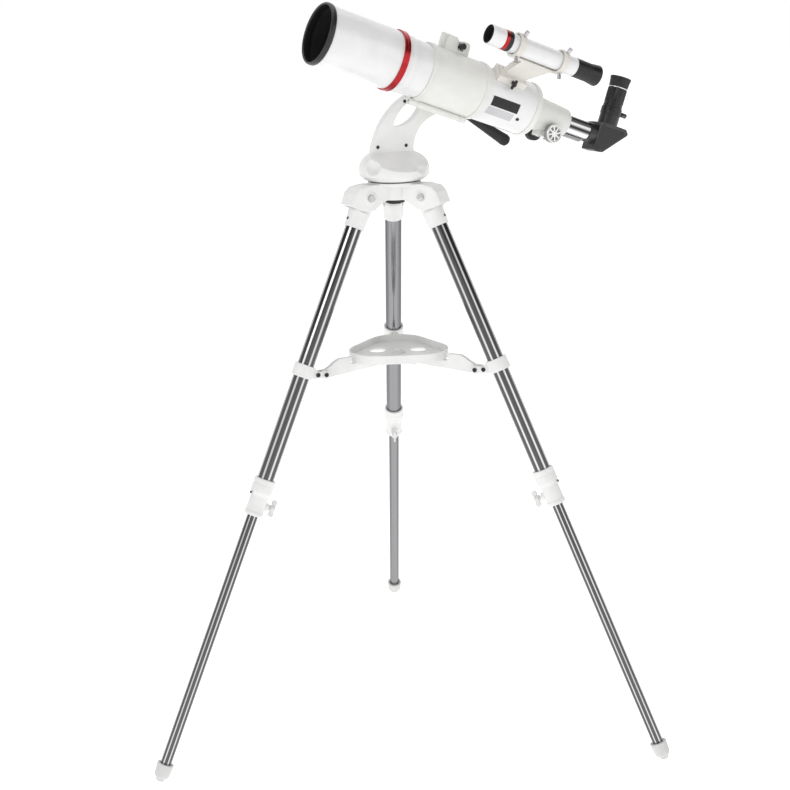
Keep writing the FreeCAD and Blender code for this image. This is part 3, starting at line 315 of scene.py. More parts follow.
# ---------------------------------------------------------------- outlines
def rounded(profile, radius, steps=3):
    """Closed outline with its corners rounded, as far as their edges allow."""
    points = [Vector(p) for p in profile]
    result = []
    for index, corner in enumerate(points):
        before = points[index - 1] - corner
        after = points[(index + 1) % len(points)] - corner
        reach = min(radius, before.length * 0.45, after.length * 0.45)
        on_axis = abs(corner.x) < 1e-6
        if reach < 1e-3 or on_axis or before.angle(after, math.pi) > math.radians(172):
            result.append(corner)
            continue
        start, end = corner + before.normalized() * reach, corner + after.normalized() * reach
        for step in range(steps + 1):
            t = step / steps
            result.append(start * (1 - t) ** 2 + corner * 2 * t * (1 - t) + end * t ** 2)
    return result


def pipe(inner, outer, low, high):
    """Lathe profile of a tube, or of a rod when inner is 0."""
    return [(inner, low), (outer, low), (outer, high), (inner, high)]


def groove(radius, first, last, depth, slope):
    """Lathe profile of a shallow groove with sloping walls."""
    run = math.copysign(slope, last - first)
    return [(radius, first), (radius - depth, first + run), (radius - depth, last - run),
            (radius, last)]


def shoulder(start, end, steps=10):
    """S-shaped run of (radius, station) points from start to end."""
    points = []
    for step in range(steps + 1):
        t = step / steps
        ease = 0.5 - 0.5 * math.cos(math.pi * t)
        points.append((start[0] + (end[0] - start[0]) * ease, start[1] + (end[1] - start[1]) * t))
    return points


def arc(centre, radius, start, end, steps=12):
    """Points on a circle from one angle to another, in degrees."""
    angles = [math.radians(start + (end - start) * i / steps) for i in range(steps + 1)]
    return [(centre[0] + radius * math.cos(a), centre[1] + radius * math.sin(a)) for a in angles]


def oblong(width, height, radius, steps=5):
    """Rectangle with round corners, centred on the origin."""
    x, y = width / 2 - radius, height / 2 - radius
    return (arc((x, y), radius, 0, 90, steps) + arc((-x, y), radius, 90, 180, steps)
            + arc((-x, -y), radius, 180, 270, steps) + arc((x, -y), radius, 270, 360, steps))


# ---------------------------------------------------------------- piece helpers
def linked(name, data):
    """New object in the scene."""
    made = bpy.data.objects.new(name, data)
    bpy.context.scene.collection.objects.link(made)
    return made


def mesh_of(bm, name):
    """Mesh with a bmesh's faces; the bmesh is freed."""
    mesh = bpy.data.meshes.new(name)
    bm.to_mesh(mesh)
    bm.free()
    return mesh


def piece(name, mesh, materials, body, nodes=(), sharp=35.0):
    """Adds a finished mesh, in row coordinates, as a named piece of a body."""
    made = linked(name, mesh)
    for material in materials:
        mesh.materials.append(material)
    mesh.polygons.foreach_set("use_smooth", [True] * len(mesh.polygons))
    mesh.set_sharp_from_angle(angle=math.radians(sharp))
    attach(made, body)
    if nodes:
        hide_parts(*nodes)
    return made


def lathe_ring(bm, point, place, segments, ridges):
    """Vertices of one (radius, height) point, or a single one on the axis."""
    if point.x < 1e-6:
        return [bm.verts.new(place @ Vector((0, 0, point.y)))]
    ring = []
    for index in range(segments):
        angle = 2 * math.pi * index / segments
        radius = point.x
        if ridges and ridges[0] <= point.y <= ridges[1]:
            radius -= ridges[3] * (0.5 - 0.5 * math.cos(ridges[2] * angle))
        spot = Vector((radius * math.cos(angle), radius * math.sin(angle), point.y))
        ring.append(bm.verts.new(place @ spot))
    return ring


def bridge(bm, ring, following, segments, chosen):
    """Faces between two rings of vertices, either of which may be a point on the axis."""
    if len(ring) == 1 and len(following) == 1:
        return
    for side in range(segments):
        beside = (side + 1) % segments
        if len(ring) == 1:
            corners = [ring[0], following[side], following[beside]]
        elif len(following) == 1:
            corners = [ring[side], following[0], ring[beside]]
        else:
            corners = [ring[side], following[side], following[beside], ring[beside]]
        bm.faces.new(corners).material_index = chosen


def lathe(name, profile, place, body, slot, materials, nodes=(), soft=0.4, segments=COARSE,
          choose=None, ridges=None):
    """Turned piece about local Z from (radius, height) points.

    choose(radius, height) picks a face's material; ridges is (low, high, count, depth).
    """
    outline = rounded(profile, soft)
    bm = bmesh.new()
    rings = [lathe_ring(bm, point, place, segments, ridges) for point in outline]
    for index, ring in enumerate(rings):
        beyond = (index + 1) % len(rings)
        middle = (outline[index] + outline[beyond]) / 2
        chosen = choose(middle.x, middle.y) if choose else 0
        bridge(bm, ring, rings[beyond], segments, chosen)
    bmesh.ops.recalc_face_normals(bm, faces=bm.faces)
    return piece(name, mesh_of(bm, name), materials, body, nodes)


def flat_outline(name, loops, thickness, bevel):
    """Filled 2-D curve of the first loop, with the later loops as holes."""
    curve = bpy.data.curves.new(name, "CURVE")
    curve.dimensions = "2D"
    curve.fill_mode = "BOTH"
    curve.extrude = thickness / 2 - bevel
    curve.bevel_depth = bevel
    curve.bevel_resolution = 3
    curve.offset = -bevel
    for index, loop in enumerate(loops):
        area = sum(a[0] * b[1] - b[0] * a[1] for a, b in zip(loop, loop[1:] + loop[:1]))
        ordered = loop if (area > 0) == (index == 0) else loop[::-1]
        spline = curve.splines.new("POLY")
        spline.points.add(len(ordered) - 1)
        for point, (x, y) in zip(spline.points, ordered):
            point.co = (x, y, 0, 1)
        spline.use_cyclic_u = True
    return curve


def plate(name, loops, thickness, bevel, place, body, materials):
    """Flat piece in local XY, centred on Z = 0, with rounded edges; later loops are holes."""
    holder = linked(name + "_outline", flat_outline(name, loops, thickness, bevel))
    bpy.context.view_layer.update()
    mesh = bpy.data.meshes.new_from_object(holder)
    bpy.data.objects.remove(holder)
    bm = bmesh.new()
    bm.from_mesh(mesh)
    bmesh.ops.remove_doubles(bm, verts=bm.verts, dist=1e-3)
    bm.transform(place)
    bmesh.ops.recalc_face_normals(bm, faces=bm.faces)
    bm.to_mesh(mesh)
    bm.free()
    mesh.materials.clear()
    return piece(name, mesh, materials, body)


def box(low, high, place):
    """Closed box between two corners of a local frame."""
    bm = bmesh.new()
    corners = [bm.verts.new(place @ Vector((x, y, z))) for x in (low[0], high[0])
               for y in (low[1], high[1]) for z in (low[2], high[2])]
    for face in ((0, 1, 3, 2), (4, 6, 7, 5), (0, 4, 5, 1), (2, 3, 7, 6), (0, 2, 6, 4),
                 (1, 5, 7, 3)):
        bm.faces.new([corners[index] for index in face])
    bmesh.ops.recalc_face_normals(bm, faces=bm.faces)
    return mesh_of(bm, "cutter")


def carve(solid, low, high, place):
    """Cuts a box, from low to high in a local frame, out of a finished piece."""
    cutter = linked("cutter", box(low, high, place))
    cut = solid.modifiers.new("Slot", "BOOLEAN")
    cut.object = cutter
    cut.solver = "EXACT"
    bpy.context.view_layer.update()
    result = solid.evaluated_get(bpy.context.evaluated_depsgraph_get())
    carved = bpy.data.meshes.new_from_object(result)
    solid.modifiers.clear()
    solid.data = carved
    bpy.data.objects.remove(cutter)


def screw_head(name, place, radius, height, body):
    """Dark socket-head screw standing along local +Z."""
    socket, floor = radius * 0.5, height * 0.35
    profile = [(socket, height), (radius, height), (radius, 0), (0, 0), (0, floor),
               (socket, floor)]
    lathe(name, profile, place, body, "dark_screw", [LOOKS["dark_screw"]], soft=height * 0.2,
          segments=36)


# ---------------------------------------------------------------- CAD nodes that stay
CASTINGS = {"mount_base": 1.0, "arm": 1.1, "tripod_head": 0.9}     # grain of the soft skin
BEVELS = {"cradle_back": 0.15, "cradle_door": 0.15, "finder_bracket": 0.3}
EDGE_BEVEL = 0.4
# The azimuth spindle takes the black screw finish as painted shade: a dark band under the tripod head, where the
# yokes' insides lie in shadow.
LOOKS_AND_PAINTED_SHADE = {"finder_screws": "screw_steel", "azimuth_spindle": "dark_screw"}
TURNED = set()     # CAD nodes that a mesh piece stands for


def skin_casting(shown, grain):
    """Soft skin of a sand casting, from voxels of grain millimetres."""
    skin = shown.modifiers.new("Skin", "REMESH")
    skin.mode = "VOXEL"
    skin.voxel_size = grain * MM
    skin.use_smooth_shade = True
    soft = shown.modifiers.new("Soft", "SMOOTH")
    soft.factor = 0.5
    soft.iterations = 5


def ease_edges(shown, width):
    edges = shown.modifiers.new("Edges", "BEVEL")
    edges.width = width * MM
    edges.segments = 2
    edges.limit_method = "ANGLE"
    edges.angle_limit = math.radians(38)
    edges.harden_normals = True


def refine(node):
    """Finishes a CAD node: its material, and eased edges or the soft skin of a casting."""
    shown = frame["nodes"][node]
    mesh = shown.data
    mesh.materials.clear()
    mesh.materials.append(LOOKS[LOOKS_AND_PAINTED_SHADE.get(node, SLOT[node])])
    if "custom_normal" in mesh.attributes:
        mesh.attributes.remove(mesh.attributes["custom_normal"])
    mesh.polygons.foreach_set("use_smooth", [True] * len(mesh.polygons))
    weld = shown.modifiers.new("Weld", "WELD")
    weld.merge_threshold = 1e-6
    if node in CASTINGS:
        skin_casting(shown, CASTINGS[node])
    else:
        ease_edges(shown, BEVELS.get(node, EDGE_BEVEL))


def cad_nodes():
    for node in sorted(frame["nodes"]):
        if node not in TURNED:
            refine(node)


def turned(node, profile, place, materials, **more):
    """Lathe piece that stands for a CAD node of the same name."""
    TURNED.add(node)
    return lathe(node + "_shell", profile, place, BODY[node], SLOT[node], materials,
                 nodes=[node], **more)


# ---------------------------------------------------------------- optical tube
def main_tube(painted):
    turned("main_tube", pipe(TUBE_R - TUBE_WALL, TUBE_R, TUBE_REAR, CELL_REAR + CELL_OVERLAP),
           OTA, painted, soft=0.3, segments=ROUND, choose=lambda r, z: int(r < TUBE_R - 1))


def lens_cell(painted):
    """Ring on the tube's front end, grooved outside, with the lenses' seat inside."""
    rear, front = CELL_REAR + CELL_OVERLAP, 139.0
    stop_r, lens_r, clear_r = 44.5, 46.0, 44.0
    lens_rear, lens_front = 112.0, 131.0
    over_tube, in_shield = TUBE_R + SLIP, SHIELD_R - 2.1
    turned("lens_cell",
           [(stop_r, rear), (over_tube, rear), (over_tube, CELL_REAR), (CELL_R, CELL_REAR)]
           + groove(CELL_R, 113.0, 114.4, 0.5, 0.4)
           + [(CELL_R, RING_FRONT), (in_shield, RING_FRONT), (in_shield, front),
              (clear_r, front), (clear_r, lens_front), (lens_r, lens_front),
              (lens_r, lens_rear), (stop_r, lens_rear)],
           OTA, painted, soft=0.35, segments=ROUND,
           choose=lambda r, z: int(r < TUBE_R or z > RING_FRONT))


def red_ring():
    turned("red_ring",
           [(CELL_R, RING_REAR), (RING_R, RING_REAR)] + groove(RING_R, 126.6, 128.1, 0.4, 0.3)
           + [(RING_R, RING_FRONT), (CELL_R, RING_FRONT)],
           OTA, [LOOKS["red_metal"]], soft=0.9, segments=ROUND)


def dew_shield(painted):
    turned("dew_shield", pipe(SHIELD_R - SHIELD_WALL, SHIELD_R, RING_FRONT, SHIELD_FRONT), OTA,
           painted, soft=0.2, segments=ROUND, choose=lambda r, z: int(r < SHIELD_R - 1))


def front_lip():
    """Black ring over the shield's front edge, reaching 4 mm back inside it."""
    inside = SHIELD_R - SHIELD_WALL
    turned("front_lip",
           [(LIP_BORE, SHIELD_FRONT - 4), (inside, SHIELD_FRONT - 4), (inside, SHIELD_FRONT),
            (LIP_R - 0.9, SHIELD_FRONT), (LIP_R, SHIELD_FRONT + 1.4), (LIP_R, LIP_FRONT - 3),
            (LIP_R - 2.4, LIP_FRONT), (LIP_BORE, LIP_FRONT - 2)],
           OTA, [LOOKS["black_plastic"]], soft=1.5, segments=ROUND)


def optical_tube():
    painted = [LOOKS["tube_paint"], LOOKS["flocking"]]
    main_tube(painted)
    lens_cell(painted)
    red_ring()
    dew_shield(painted)
    front_lip()


def hinge_pin():
    turned("cradle_hinge_pin", pipe(0, HINGE_R, HINGE_REAR, HINGE_FRONT),
           shifted(OTA, (-HINGE_DROP, 0, 0)), [LOOKS["screw_steel"]], soft=0.5, segments=40)


def curved_sheet(bm, radius, centre, half, station, width):
    """Rows of vertices round the tube's near side, half an angle each way from centre."""
    sheet = []
    for row in range(LABEL_ROWS + 1):
        angle = centre - half + 2 * half * row / LABEL_ROWS
        line = []
        for column in range(LABEL_COLUMNS + 1):
            s = station - width / 2 + width * column / LABEL_COLUMNS
            spot = Vector((radius * math.sin(angle), -radius * math.cos(angle), s))
            line.append(bm.verts.new(OTA @ spot))
        sheet.append(line)
    for row in range(LABEL_ROWS):
        for column in range(LABEL_COLUMNS):
            bm.faces.new([sheet[row][column], sheet[row][column + 1],
                          sheet[row + 1][column + 1], sheet[row + 1][column]])
    return sheet


def label_edge(bm, low, high):
    """Faces round the rim, between a label's two sheets."""
    rows, columns = LABEL_ROWS, LABEL_COLUMNS
    border = ([(0, c) for c in range(columns)] + [(r, columns) for r in range(rows)]
              + [(rows, c) for c in range(columns, 0, -1)] + [(r, 0) for r in range(rows, 0, -1)])
    for (row, column), (next_row, next_column) in zip(border, border[1:] + border[:1]):
        bm.faces.new([low[row][column], low[next_row][next_column],
                      high[next_row][next_column], high[row][column]])


def label(name, height, width, up, station, material):
    """Thin blank plate curved round the tube's near side; up and station are its centre."""
    centre, half = math.asin(up / TUBE_R), height / 2 / TUBE_R
    bm = bmesh.new()
    low, high = (curved_sheet(bm, TUBE_R + layer, centre, half, station, width)
                 for layer in (LABEL_GAP, LABEL_SKIN))
    label_edge(bm, low, high)
    bmesh.ops.recalc_face_normals(bm, faces=bm.faces)
    piece(name, mesh_of(bm, name), [material], TUBE)


def labels():
    label("label_plate_upper", 18.5, 60.0, -11.5, -97.0, LOOKS["black_label"])
    label("label_plate_lower", 16.0, 58.0, -29.5, -94.0, LOOKS["silver_label"])


def side_screw():
    """Screw on the tube's near side that holds the focuser."""
    outwards = shifted(OTA, (0, 0, SIDE_SCREW_S), "Z", -90 - SIDE_SCREW_ANGLE)
    screw_head("tube_side_screw", shifted(outwards, (TUBE_R - 0.2, 0, 0), "Y", 90), 3.1, 1.8,
               TUBE)


# ---------------------------------------------------------------- focuser
def focuser_shell():
    """Rear cone: spigot and flange at the tube, S-shaped shoulder, taper to the drawtube."""
    spigot_r, flange_r, spigot_front = 48.4, 51.4, TUBE_REAR + 12
    bell, neck, waist = (50.4, -172.0), (32.4, -190.5), (31.3, -197)
    bore, relief, lip_front, relief_front = 18.55, 19.7, -246, -190
    profile = ([(spigot_r, spigot_front), (spigot_r, TUBE_REAR), (flange_r, TUBE_REAR),
                (flange_r, -170.5)]
               + shoulder(bell, neck)
               + [waist, (27.2, BODY_REAR + 3), (25.6, BODY_REAR), (bore, BODY_REAR),
                  (bore, lip_front), (relief, lip_front), (relief, relief_front),
                  (46, spigot_front)])
    return turned("focuser_body", profile, OTA, [LOOKS["cradle_paint"], LOOKS["flocking"]], soft=0.8,
                  segments=MEDIUM,
                  choose=lambda r, z: int(r < 24 and z > BODY_REAR + 2 or z > -160))


def pinion_housing():
    """Block under the cone, round the pinion."""
    return plate("pinion_housing", [oblong(38, 26, 6)], 17.5, 2.4,
                 shifted(OTA, (-30.5, 0, -224), "Y", 90), TUBE,
                 [LOOKS["cradle_paint"]])


def pinion_bearing(tag, shaft):
    lathe("pinion_bearing_" + tag, pipe(KNOB_BORE, 8.5, 12, 19), shaft, TUBE, "cradle_paint",
          [LOOKS["cradle_paint"]], soft=0.7, segments=64)


def housing_screws():
    """Four screws under the pinion's housing."""
    spots = [(across, station) for station in (-212, -236) for across in (-9, 9)]
    for index, (across, station) in enumerate(spots):
        place = shifted(OTA, (-39.0, across, station), "Y", -90)
        screw_head("housing_screw_%d" % index, place, 2.2, 1.3, TUBE)


def focuser():
    """Shell and housing with a slot for the drawtube's rack; a bearing and a knob each side."""
    for solid in (focuser_shell(), pinion_housing()):
        carve(solid, (-26.0, -RACK_ROOM, BODY_REAR - 5), (-14.0, RACK_ROOM, RACK_ROOM_FRONT),
              OTA)
    for tag, side in SIDES.items():
        shaft = shifted(OTA, (PINION_U, 0, PINION_S), "X", -90 * side)
        pinion_bearing(tag, shaft)
        knob(tag, shaft)
    TURNED.add("focus_knobs")
    housing_screws()


def knob(tag, shaft):
    """Focus knob: ribbed rim, recessed face and eight spokes round a domed hub."""
    near = tag == "near"
    body, metal = BODY["focus_knobs"], LOOKS["knob_metal"]
    # The far knob, which stands in shadow, takes black in place of the near knob's grey on its rim's sides and
    # recess: painted shade.
    recess = LOOKS["knob_recess"] if near else LOOKS["black_plastic"]
    floor = KNOB_OUT - 3
    lathe("focus_knob_rim_" + tag,
          [(KNOB_BORE, 20), (7.4, 20), (10, KNOB_IN), (KNOB_R - 0.8, KNOB_IN),
           (KNOB_R, KNOB_IN + 1), (KNOB_R, KNOB_IN + 4), (KNOB_R, KNOB_IN + 7),
           (KNOB_R, KNOB_OUT - 1.2), (KNOB_R - 0.8, KNOB_OUT), (KNOB_R - 2.6, KNOB_OUT),
           (KNOB_R - 3, floor), (KNOB_BORE, floor)],
          shaft, body, "knob_metal", [recess, metal], nodes=["focus_knobs"] if near else [],
          soft=0.4, segments=FINE, ridges=(KNOB_IN + 0.9, KNOB_OUT - 1.0, 48, 0.5),
          choose=lambda r, z: int(z > KNOB_OUT - 1.0 and r > KNOB_R - 2.8))
    openings = []
    for index in range(SPOKES):
        middle = 360 / SPOKES * index
        openings.append(arc((0, 0), KNOB_R - 4.6, middle - 15, middle + 15, 6)
                        + arc((0, 0), 6.2, middle + 9, middle - 9, 3))
    plate("focus_knob_face_" + tag, [arc((0, 0), KNOB_R - 3.0, 0, 354, 59)] + openings, 1.8,
          0.4, shifted(shaft, (0, 0, KNOB_OUT - 1.6)), body, [metal])
    lathe("focus_knob_hub_" + tag,
          [(0, floor), (5.2, floor), (5.2, KNOB_OUT - 0.8), (3.6, KNOB_OUT - 0.2),
           (0, KNOB_OUT)], shaft, body, "knob_metal", [metal], soft=0.5, segments=48)


# ---------------------------------------------------------------- diagonal and eyepiece
def eyepiece():
    """Barrel, grooved collar, ribbed grip, bright band, waist and flared rubber cup."""
    grip_r, band_r, top = 18.8, 18.3, EYEPIECE_TOP
    grip_low, grip_high, band_top = 70, 97, 99.6
    cup_low = 100

    def colour(radius, height):
        if height < HOLDER_TOP:
            return 3
        if height > cup_low:
            return 2
        return 1 if 98 <= height <= band_top + 0.1 else 0

    turned("eyepiece_body",
           [(13.5, 34), (BARREL_R, 34), (BARREL_R, HOLDER_TOP + 0.3), (18.4, HOLDER_TOP + 0.3),
            (grip_r, HOLDER_TOP + 1.6)] + groove(grip_r, 66, 68, 0.5, 0.5)
           + [(grip_r, grip_low), (grip_r, 84), (grip_r, grip_high), (band_r, 98),
              (band_r, band_top), (18.7, 100.4), (18.7, 104), (20, top - 5),
              (20.8, top - 1.5), (20.3, top), (18.6, top - 0.6), (16, top - 9),
              (13.5, top - 10)],
           EYE, [LOOKS[key] for key in ("black_metal", "knob_metal", "black_rubber", "chrome")],
           soft=0.4, segments=FINE, ridges=(grip_low - 0.5, grip_high + 0.5, 60, 0.4),
           choose=colour)


def holder_ring():
    """Ribbed ring that grips the eyepiece's barrel."""
    lathe("holder_ring", pipe(19.45, 20.4, HOLDER_TOP - 14, HOLDER_TOP - 1), EYE,
          BODY["diagonal_body"], "black_plastic", [LOOKS["black_metal"]], soft=0.3, segments=FINE,
          ridges=(HOLDER_TOP - 13, HOLDER_TOP - 2, 72, 0.25))


def diagonal_side(tag, side):
    """Raised cover plate with three screws on one side of the diagonal's case."""
    body = BODY["diagonal_body"]
    for index, (up, station) in enumerate(((18, -343), (-24, -343), (18, -391))):
        place = shifted(OTA, (up, side * (DIAGONAL_SIDE - 0.2), station), "X", -90 * side)
        screw_head("diagonal_case_screw_%s_%d" % (tag, index), place, 2.0, 0.9, body)
    outline = [(19.0, -338), (19.5, -352), (20.5, -389), (15, -397), (-25, -357), (-26, -338)]
    plate("diagonal_cover_" + tag, [[(up, -side * station) for up, station in outline]], 1.0,
          0.35, shifted(OTA, (0, side * DIAGONAL_SIDE, 0), "X", -90 * side), body,
          [LOOKS["black_plastic"]])


# ---------------------------------------------------------------- finder
def finder_tube():
    """Stepped white barrel with a black front ring and a red one behind it."""
    front_r, step_r, barrel_r, bore, objective_bore = 18, 18.4, 17.1, 14, 15.2
    black_end, red_start, red_end = -47.5, -38.5, -30.8

    def colour(radius, station):
        if radius < 17.0:
            return 3
        if red_start < station < red_end:
            return 1
        return 2 if black_end < station <= red_start else 0

    turned("finder_tube",
           [(objective_bore, -2.5), (16.6, -2.5), (17.4, -3.2), (front_r, -4.2),
            (front_r, -30.5), (step_r, -31), (step_r, -38.4), (step_r, -38.6), (step_r, -46.8),
            (barrel_r, -48.5), (barrel_r, -195), (bore, -195), (bore, -60),
            (objective_bore, -58)],
           FINDER, [LOOKS["tube_paint"], LOOKS["red_metal"], LOOKS["black_metal"], LOOKS["flocking"]],
           soft=0.3, segments=MEDIUM, choose=colour)


def finder_eyepiece():
    """Ribbed black eyepiece that flares to the rear."""
    joint, rear, bore, grip_r = -195, -250, 9, 17.4
    turned("finder_eyepiece",
           [(bore, joint), (grip_r, joint), (grip_r, -205), (grip_r, -228), (grip_r, -232),
            (18, -234), (19.6, -247), (19.6, -249), (19.2, rear), (17.6, rear), (13, -243),
            (bore, -243)],
           FINDER, [LOOKS["black_metal"]], soft=0.5, segments=FINE, ridges=(-229, -204, 54, 0.35))


# ---------------------------------------------------------------- legs
def bracket_side(number, place, tag, side):
    """Cheek plate and two bolt heads on one side of a tray bracket."""
    node, body = "tray_bracket_%d" % number, "leg_%d" % number
    inward, down = BRACKET_BOLTS[0]
    outline = [(-LEG_R, -351), (-42, -343.4)] \
        + arc((-inward, -down), 8.5, 275, 85, 14)[1:] + [(-30, -333.5), (-LEG_R, -331)]
    plate("%s_cheek_%s" % (node, tag), [outline], CHEEK_THICK, 0.8,
          shifted(place, (0, side * CHEEK_OUT, 0), "X", 90), body,
          [LOOKS["white_plastic"]])
    for index, (inward, down) in enumerate(BRACKET_BOLTS):
        head = shifted(place, (-inward, side * BOLT_FACE, -down), "X", -90 * side)
        screw_head("%s_bolt_%d_%s" % (node, index, tag), head, 4.2, 2.3, body)


def bracket(number, place):
    """Ring on the upper tube with two cheeks, a clamp bolt and the arm's pivot bolt."""
    node = "tray_bracket_%d" % number
    turned(node, pipe(LEG_R + SLIP, BRACKET_R, -BRACKET_BOTTOM, -BRACKET_TOP), place,
           [LOOKS["white_plastic"]], soft=1.2, segments=COARSE)
    for tag, side in SIDES.items():
        bracket_side(number, place, tag, side)
    for index, (inward, down) in enumerate(BRACKET_BOLTS):
        lathe("%s_shank_%d" % (node, index), pipe(0, 2.4, -BOLT_FACE, BOLT_FACE),
              shifted(place, (-inward, 0, -down), "X", 90), "leg_%d" % number, "dark_screw",
              [LOOKS["dark_screw"]], soft=0.1, segments=32)


def leg_tubes(number, place):
    steel = [LOOKS["leg_steel_%d" % number]]
    turned("leg_upper_tube_%d" % number,
           pipe(LEG_R - LEG_WALL, LEG_R, -COLLAR_TOP - SOCKET, -LEG_TOP), place, steel,
           soft=0.2, segments=COARSE)
    turned("leg_lower_tube_%d" % number,
           pipe(LOWER_R - LOWER_WALL, LOWER_R, -LEG_LENGTH + PLUG, -LOWER_TOP), place, steel,
           soft=0.2, segments=80)


def collar(number, place):
    """Stepped sleeve that joins a leg's two tubes, with the lock screw's boss."""
    white, top, bottom = [LOOKS["white_plastic"]], -COLLAR_TOP, -COLLAR_BOTTOM
    upper_bore, lower_bore, neck_r, rib_r = LEG_R + SLIP, LOWER_R + 0.05, 17, 18.2
    turned("leg_collar_%d" % number,
           [(upper_bore, top - SOCKET), (upper_bore, top), (19.4, top), (COLLAR_R, top - 1.6)]
           + groove(COLLAR_R, top - 9, top - 11.5, 0.5, 0.5)
           + [(COLLAR_R, top - 26), (18.4, top - 30), (neck_r, top - 34), (neck_r, bottom + 8),
              (rib_r, bottom + 7), (rib_r, bottom + 1), (17.2, bottom), (lower_bore, bottom),
              (lower_bore, top - SOCKET)],
           place, white, soft=0.6, segments=COARSE)
    lathe("lock_boss_%d" % number, [(3.1, 15.5), (8, 15.5), (8, 22.6), (7.4, 23), (3.1, 23)],
          shifted(place, (0, 0, -606), "Y", -90), "leg_%d" % number, "white_plastic", white,
          soft=0.5, segments=64)


def foot(number, place):
    """Flared moulded foot over the lower tube's end."""
    tip, pad = -LEG_LENGTH, -LEG_LENGTH + 5.2
    plug_r, rim_r = 8.3, 15.8
    turned("foot_%d" % number,
           [(0, pad), (6.4, pad), (plug_r, pad + 2), (plug_r, tip + 10), (12.6, tip + 13.4),
            (14.4, tip + 18), (15.1, tip + 27), (rim_r, tip + 36), (rim_r, tip + 39.4),
            (15.2, tip + 40), (LOWER_R, tip + 40), (LOWER_R, tip + PLUG), (0, tip + PLUG)],
           place, [LOOKS["foot_rubber"]], soft=0.5, segments=COARSE)


def leg(number):
    place, body = leg_frame(number), "leg_%d" % number
    bracket(number, place)
    leg_tubes(number, place)
    collar(number, place)
    foot(number, place)
    screw_head("collar_screw_%d_0" % number, shifted(place, (20.3, 0, -585.5), "Y", 90), 2.6,
               1.2, body)
    screw_head("cap_screw_%d" % number, shifted(place, (18.6, 0, -47), "Y", 90), 2.6, 1.3, body)


# ---------------------------------------------------------------- camera
CAMERA_AT = (-1.1296, -2.3157, 1.3817)
YAW, PITCH, ROLL, TURN = (math.radians(a) for a in (-0.1876, 15.6326, -1.3687, -26.95))
SENSOR, LENS = 36.0, 62.11


def camera():
    """Places the camera and gives the level direction that it looks in."""
    right = Vector((math.cos(YAW), -math.sin(YAW), 0))
    ahead = Vector((math.sin(YAW), math.cos(YAW), 0))
    forward = ahead * math.cos(PITCH) - Vector((0, 0, math.sin(PITCH)))
    up = ahead * math.sin(PITCH) + Vector((0, 0, math.cos(PITCH)))
    image_right = right * math.cos(ROLL) + up * math.sin(ROLL)
    image_up = up * math.cos(ROLL) - right * math.sin(ROLL)
    turn = Matrix.Rotation(TURN, 3, "Z")
    axes = Matrix([turn @ image_right, turn @ image_up, turn @ -forward]).transposed()
    data = bpy.data.cameras.new("view")
    data.sensor_width, data.lens = SENSOR, LENS
    made = linked("view", data)
    made.matrix_world = Matrix.Translation(CAMERA_AT) @ axes.to_4x4()
    bpy.context.scene.camera = made
    return turn @ ahead


# ---------------------------------------------------------------- stage and light
WALL_HEIGHTS = (0.28, 0.42)      # slope at which the white horizon ends and the walls start
WALLS = ((0.0, 0.25), (0.07, 0.25), (0.10, 0.9), (0.13, 0.9), (0.16, 0.12), (0.30, 0.12),
         (0.40, 1.0), (0.5, 1.0), (0.60, 1.0), (0.70, 0.12), (0.80, 0.12), (0.83, 0.7),
         (0.86, 0.7), (0.89, 0.25), (1.0, 0.25))     # share of the way round, brightness


def pale_floor():
    bm = bmesh.new()
    bmesh.ops.create_grid(bm, x_segments=8, y_segments=8, size=30.0)
    mesh = mesh_of(bm, "floor")
    white_sweep = finish("pale_floor", (0.92, 0.92, 0.92), 0.7, vary=0.01, grain=60, bump=0.02)
    shader = white_sweep.node_tree.nodes["Principled BSDF"]
    shader.inputs["Emission Color"].default_value = (1, 1, 1, 1)
    shader.inputs["Emission Strength"].default_value = 0.6
    mesh.materials.append(white_sweep)
    linked("floor", mesh)


def area_light(name, at, target, size, power):
    """Square soft light, size metres wide, facing target."""
    data = bpy.data.lights.new(name, "AREA")
    data.shape = "RECTANGLE"
    data.size = data.size_y = size
    data.energy = power
    made = linked(name, data)
    made.location = at
    made.rotation_euler = (target - at).to_track_quat("-Z", "Y").to_euler()


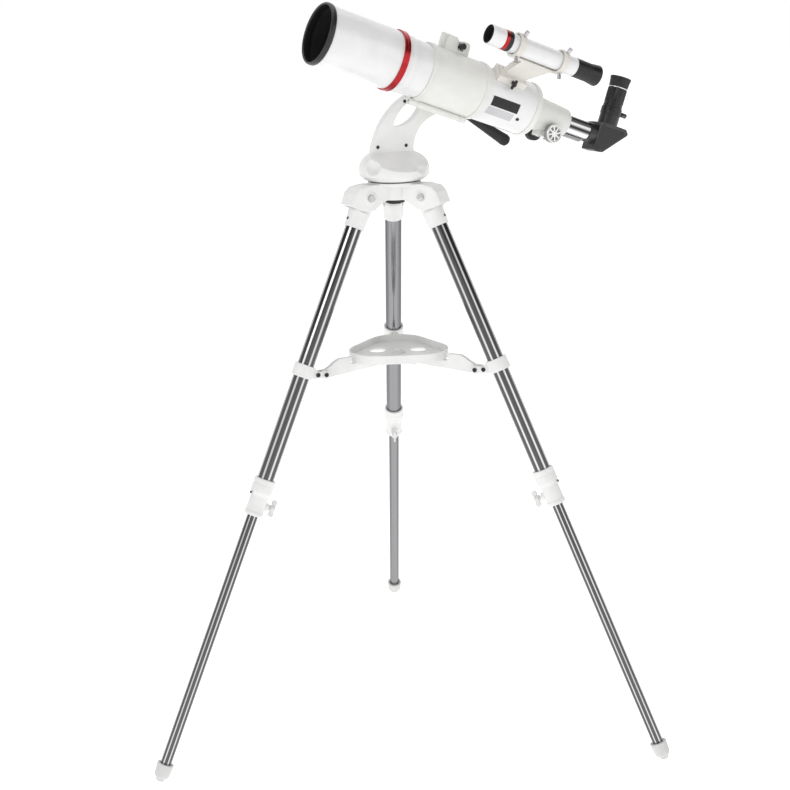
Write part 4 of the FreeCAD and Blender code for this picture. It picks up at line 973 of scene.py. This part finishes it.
def soft_lights(ahead):
    """Key, fill and top lights, placed from the level direction that the camera looks in."""
    side = Vector((ahead.y, -ahead.x, 0))
    target = Vector((0, 0, 0.9))
    area_light("key", target - ahead * 2.6 - side * 2.2 + Vector((0, 0, 2.4)), target, 2.2, 34)
    area_light("fill", target - ahead * 2.2 + side * 3.0 + Vector((0, 0, 1.0)), target, 2.4, 8)
    area_light("top", target + Vector((0, 0, 3.2)), target, 2.6, 22)


def wall_shades(tree, share):
    """Brightness of the walls, by the share of the way round."""
    walls = tree.nodes.new("ShaderNodeValToRGB")
    tree.links.new(share, walls.inputs["Fac"])
    elements = walls.color_ramp.elements
    while len(elements) < len(WALLS):
        elements.new(0.5)
    for element, (position, level) in zip(elements, WALLS):
        element.position = position
        element.color = (level, level, level, 1)
    return walls.outputs["Color"]


def room(ahead):
    """World with dark and bright walls above a white horizon, for the metals to mirror."""
    world = bpy.data.worlds.new("studio")
    bpy.context.scene.world = world
    world.use_nodes = True
    tree = world.node_tree
    place = tree.nodes.new("ShaderNodeTexCoord")
    turn = tree.nodes.new("ShaderNodeMapping")
    turn.vector_type = "VECTOR"
    turn.inputs["Rotation"].default_value = (0, 0, -math.atan2(ahead.y, ahead.x))
    parts = tree.nodes.new("ShaderNodeSeparateXYZ")
    tree.links.new(place.outputs["Generated"], turn.inputs["Vector"])
    tree.links.new(turn.outputs["Vector"], parts.inputs["Vector"])
    bearing = maths(tree, "ARCTAN2", parts.outputs["Y"], parts.outputs["X"])
    walls = wall_shades(tree, map_range(tree, bearing, -math.pi, math.pi))
    height = map_range(tree, parts.outputs["Z"], *WALL_HEIGHTS)
    background = tree.nodes["Background"]
    tree.links.new(mixed(tree, height, (1, 1, 1, 1), walls), background.inputs["Color"])
    background.inputs["Strength"].default_value = 1.0


def studio(ahead):
    pale_floor()
    soft_lights(ahead)
    room(ahead)
    bpy.context.scene.view_settings.view_transform = "Standard"


# ---------------------------------------------------------------- everything
studio(camera())
optical_tube()
hinge_pin()
labels()
side_screw()
focuser()
eyepiece()
holder_ring()
for side_tag, side_sign in SIDES.items():
    diagonal_side(side_tag, side_sign)
finder_tube()
finder_eyepiece()
for leg_number in LEGS:
    leg(leg_number)
cad_nodes()
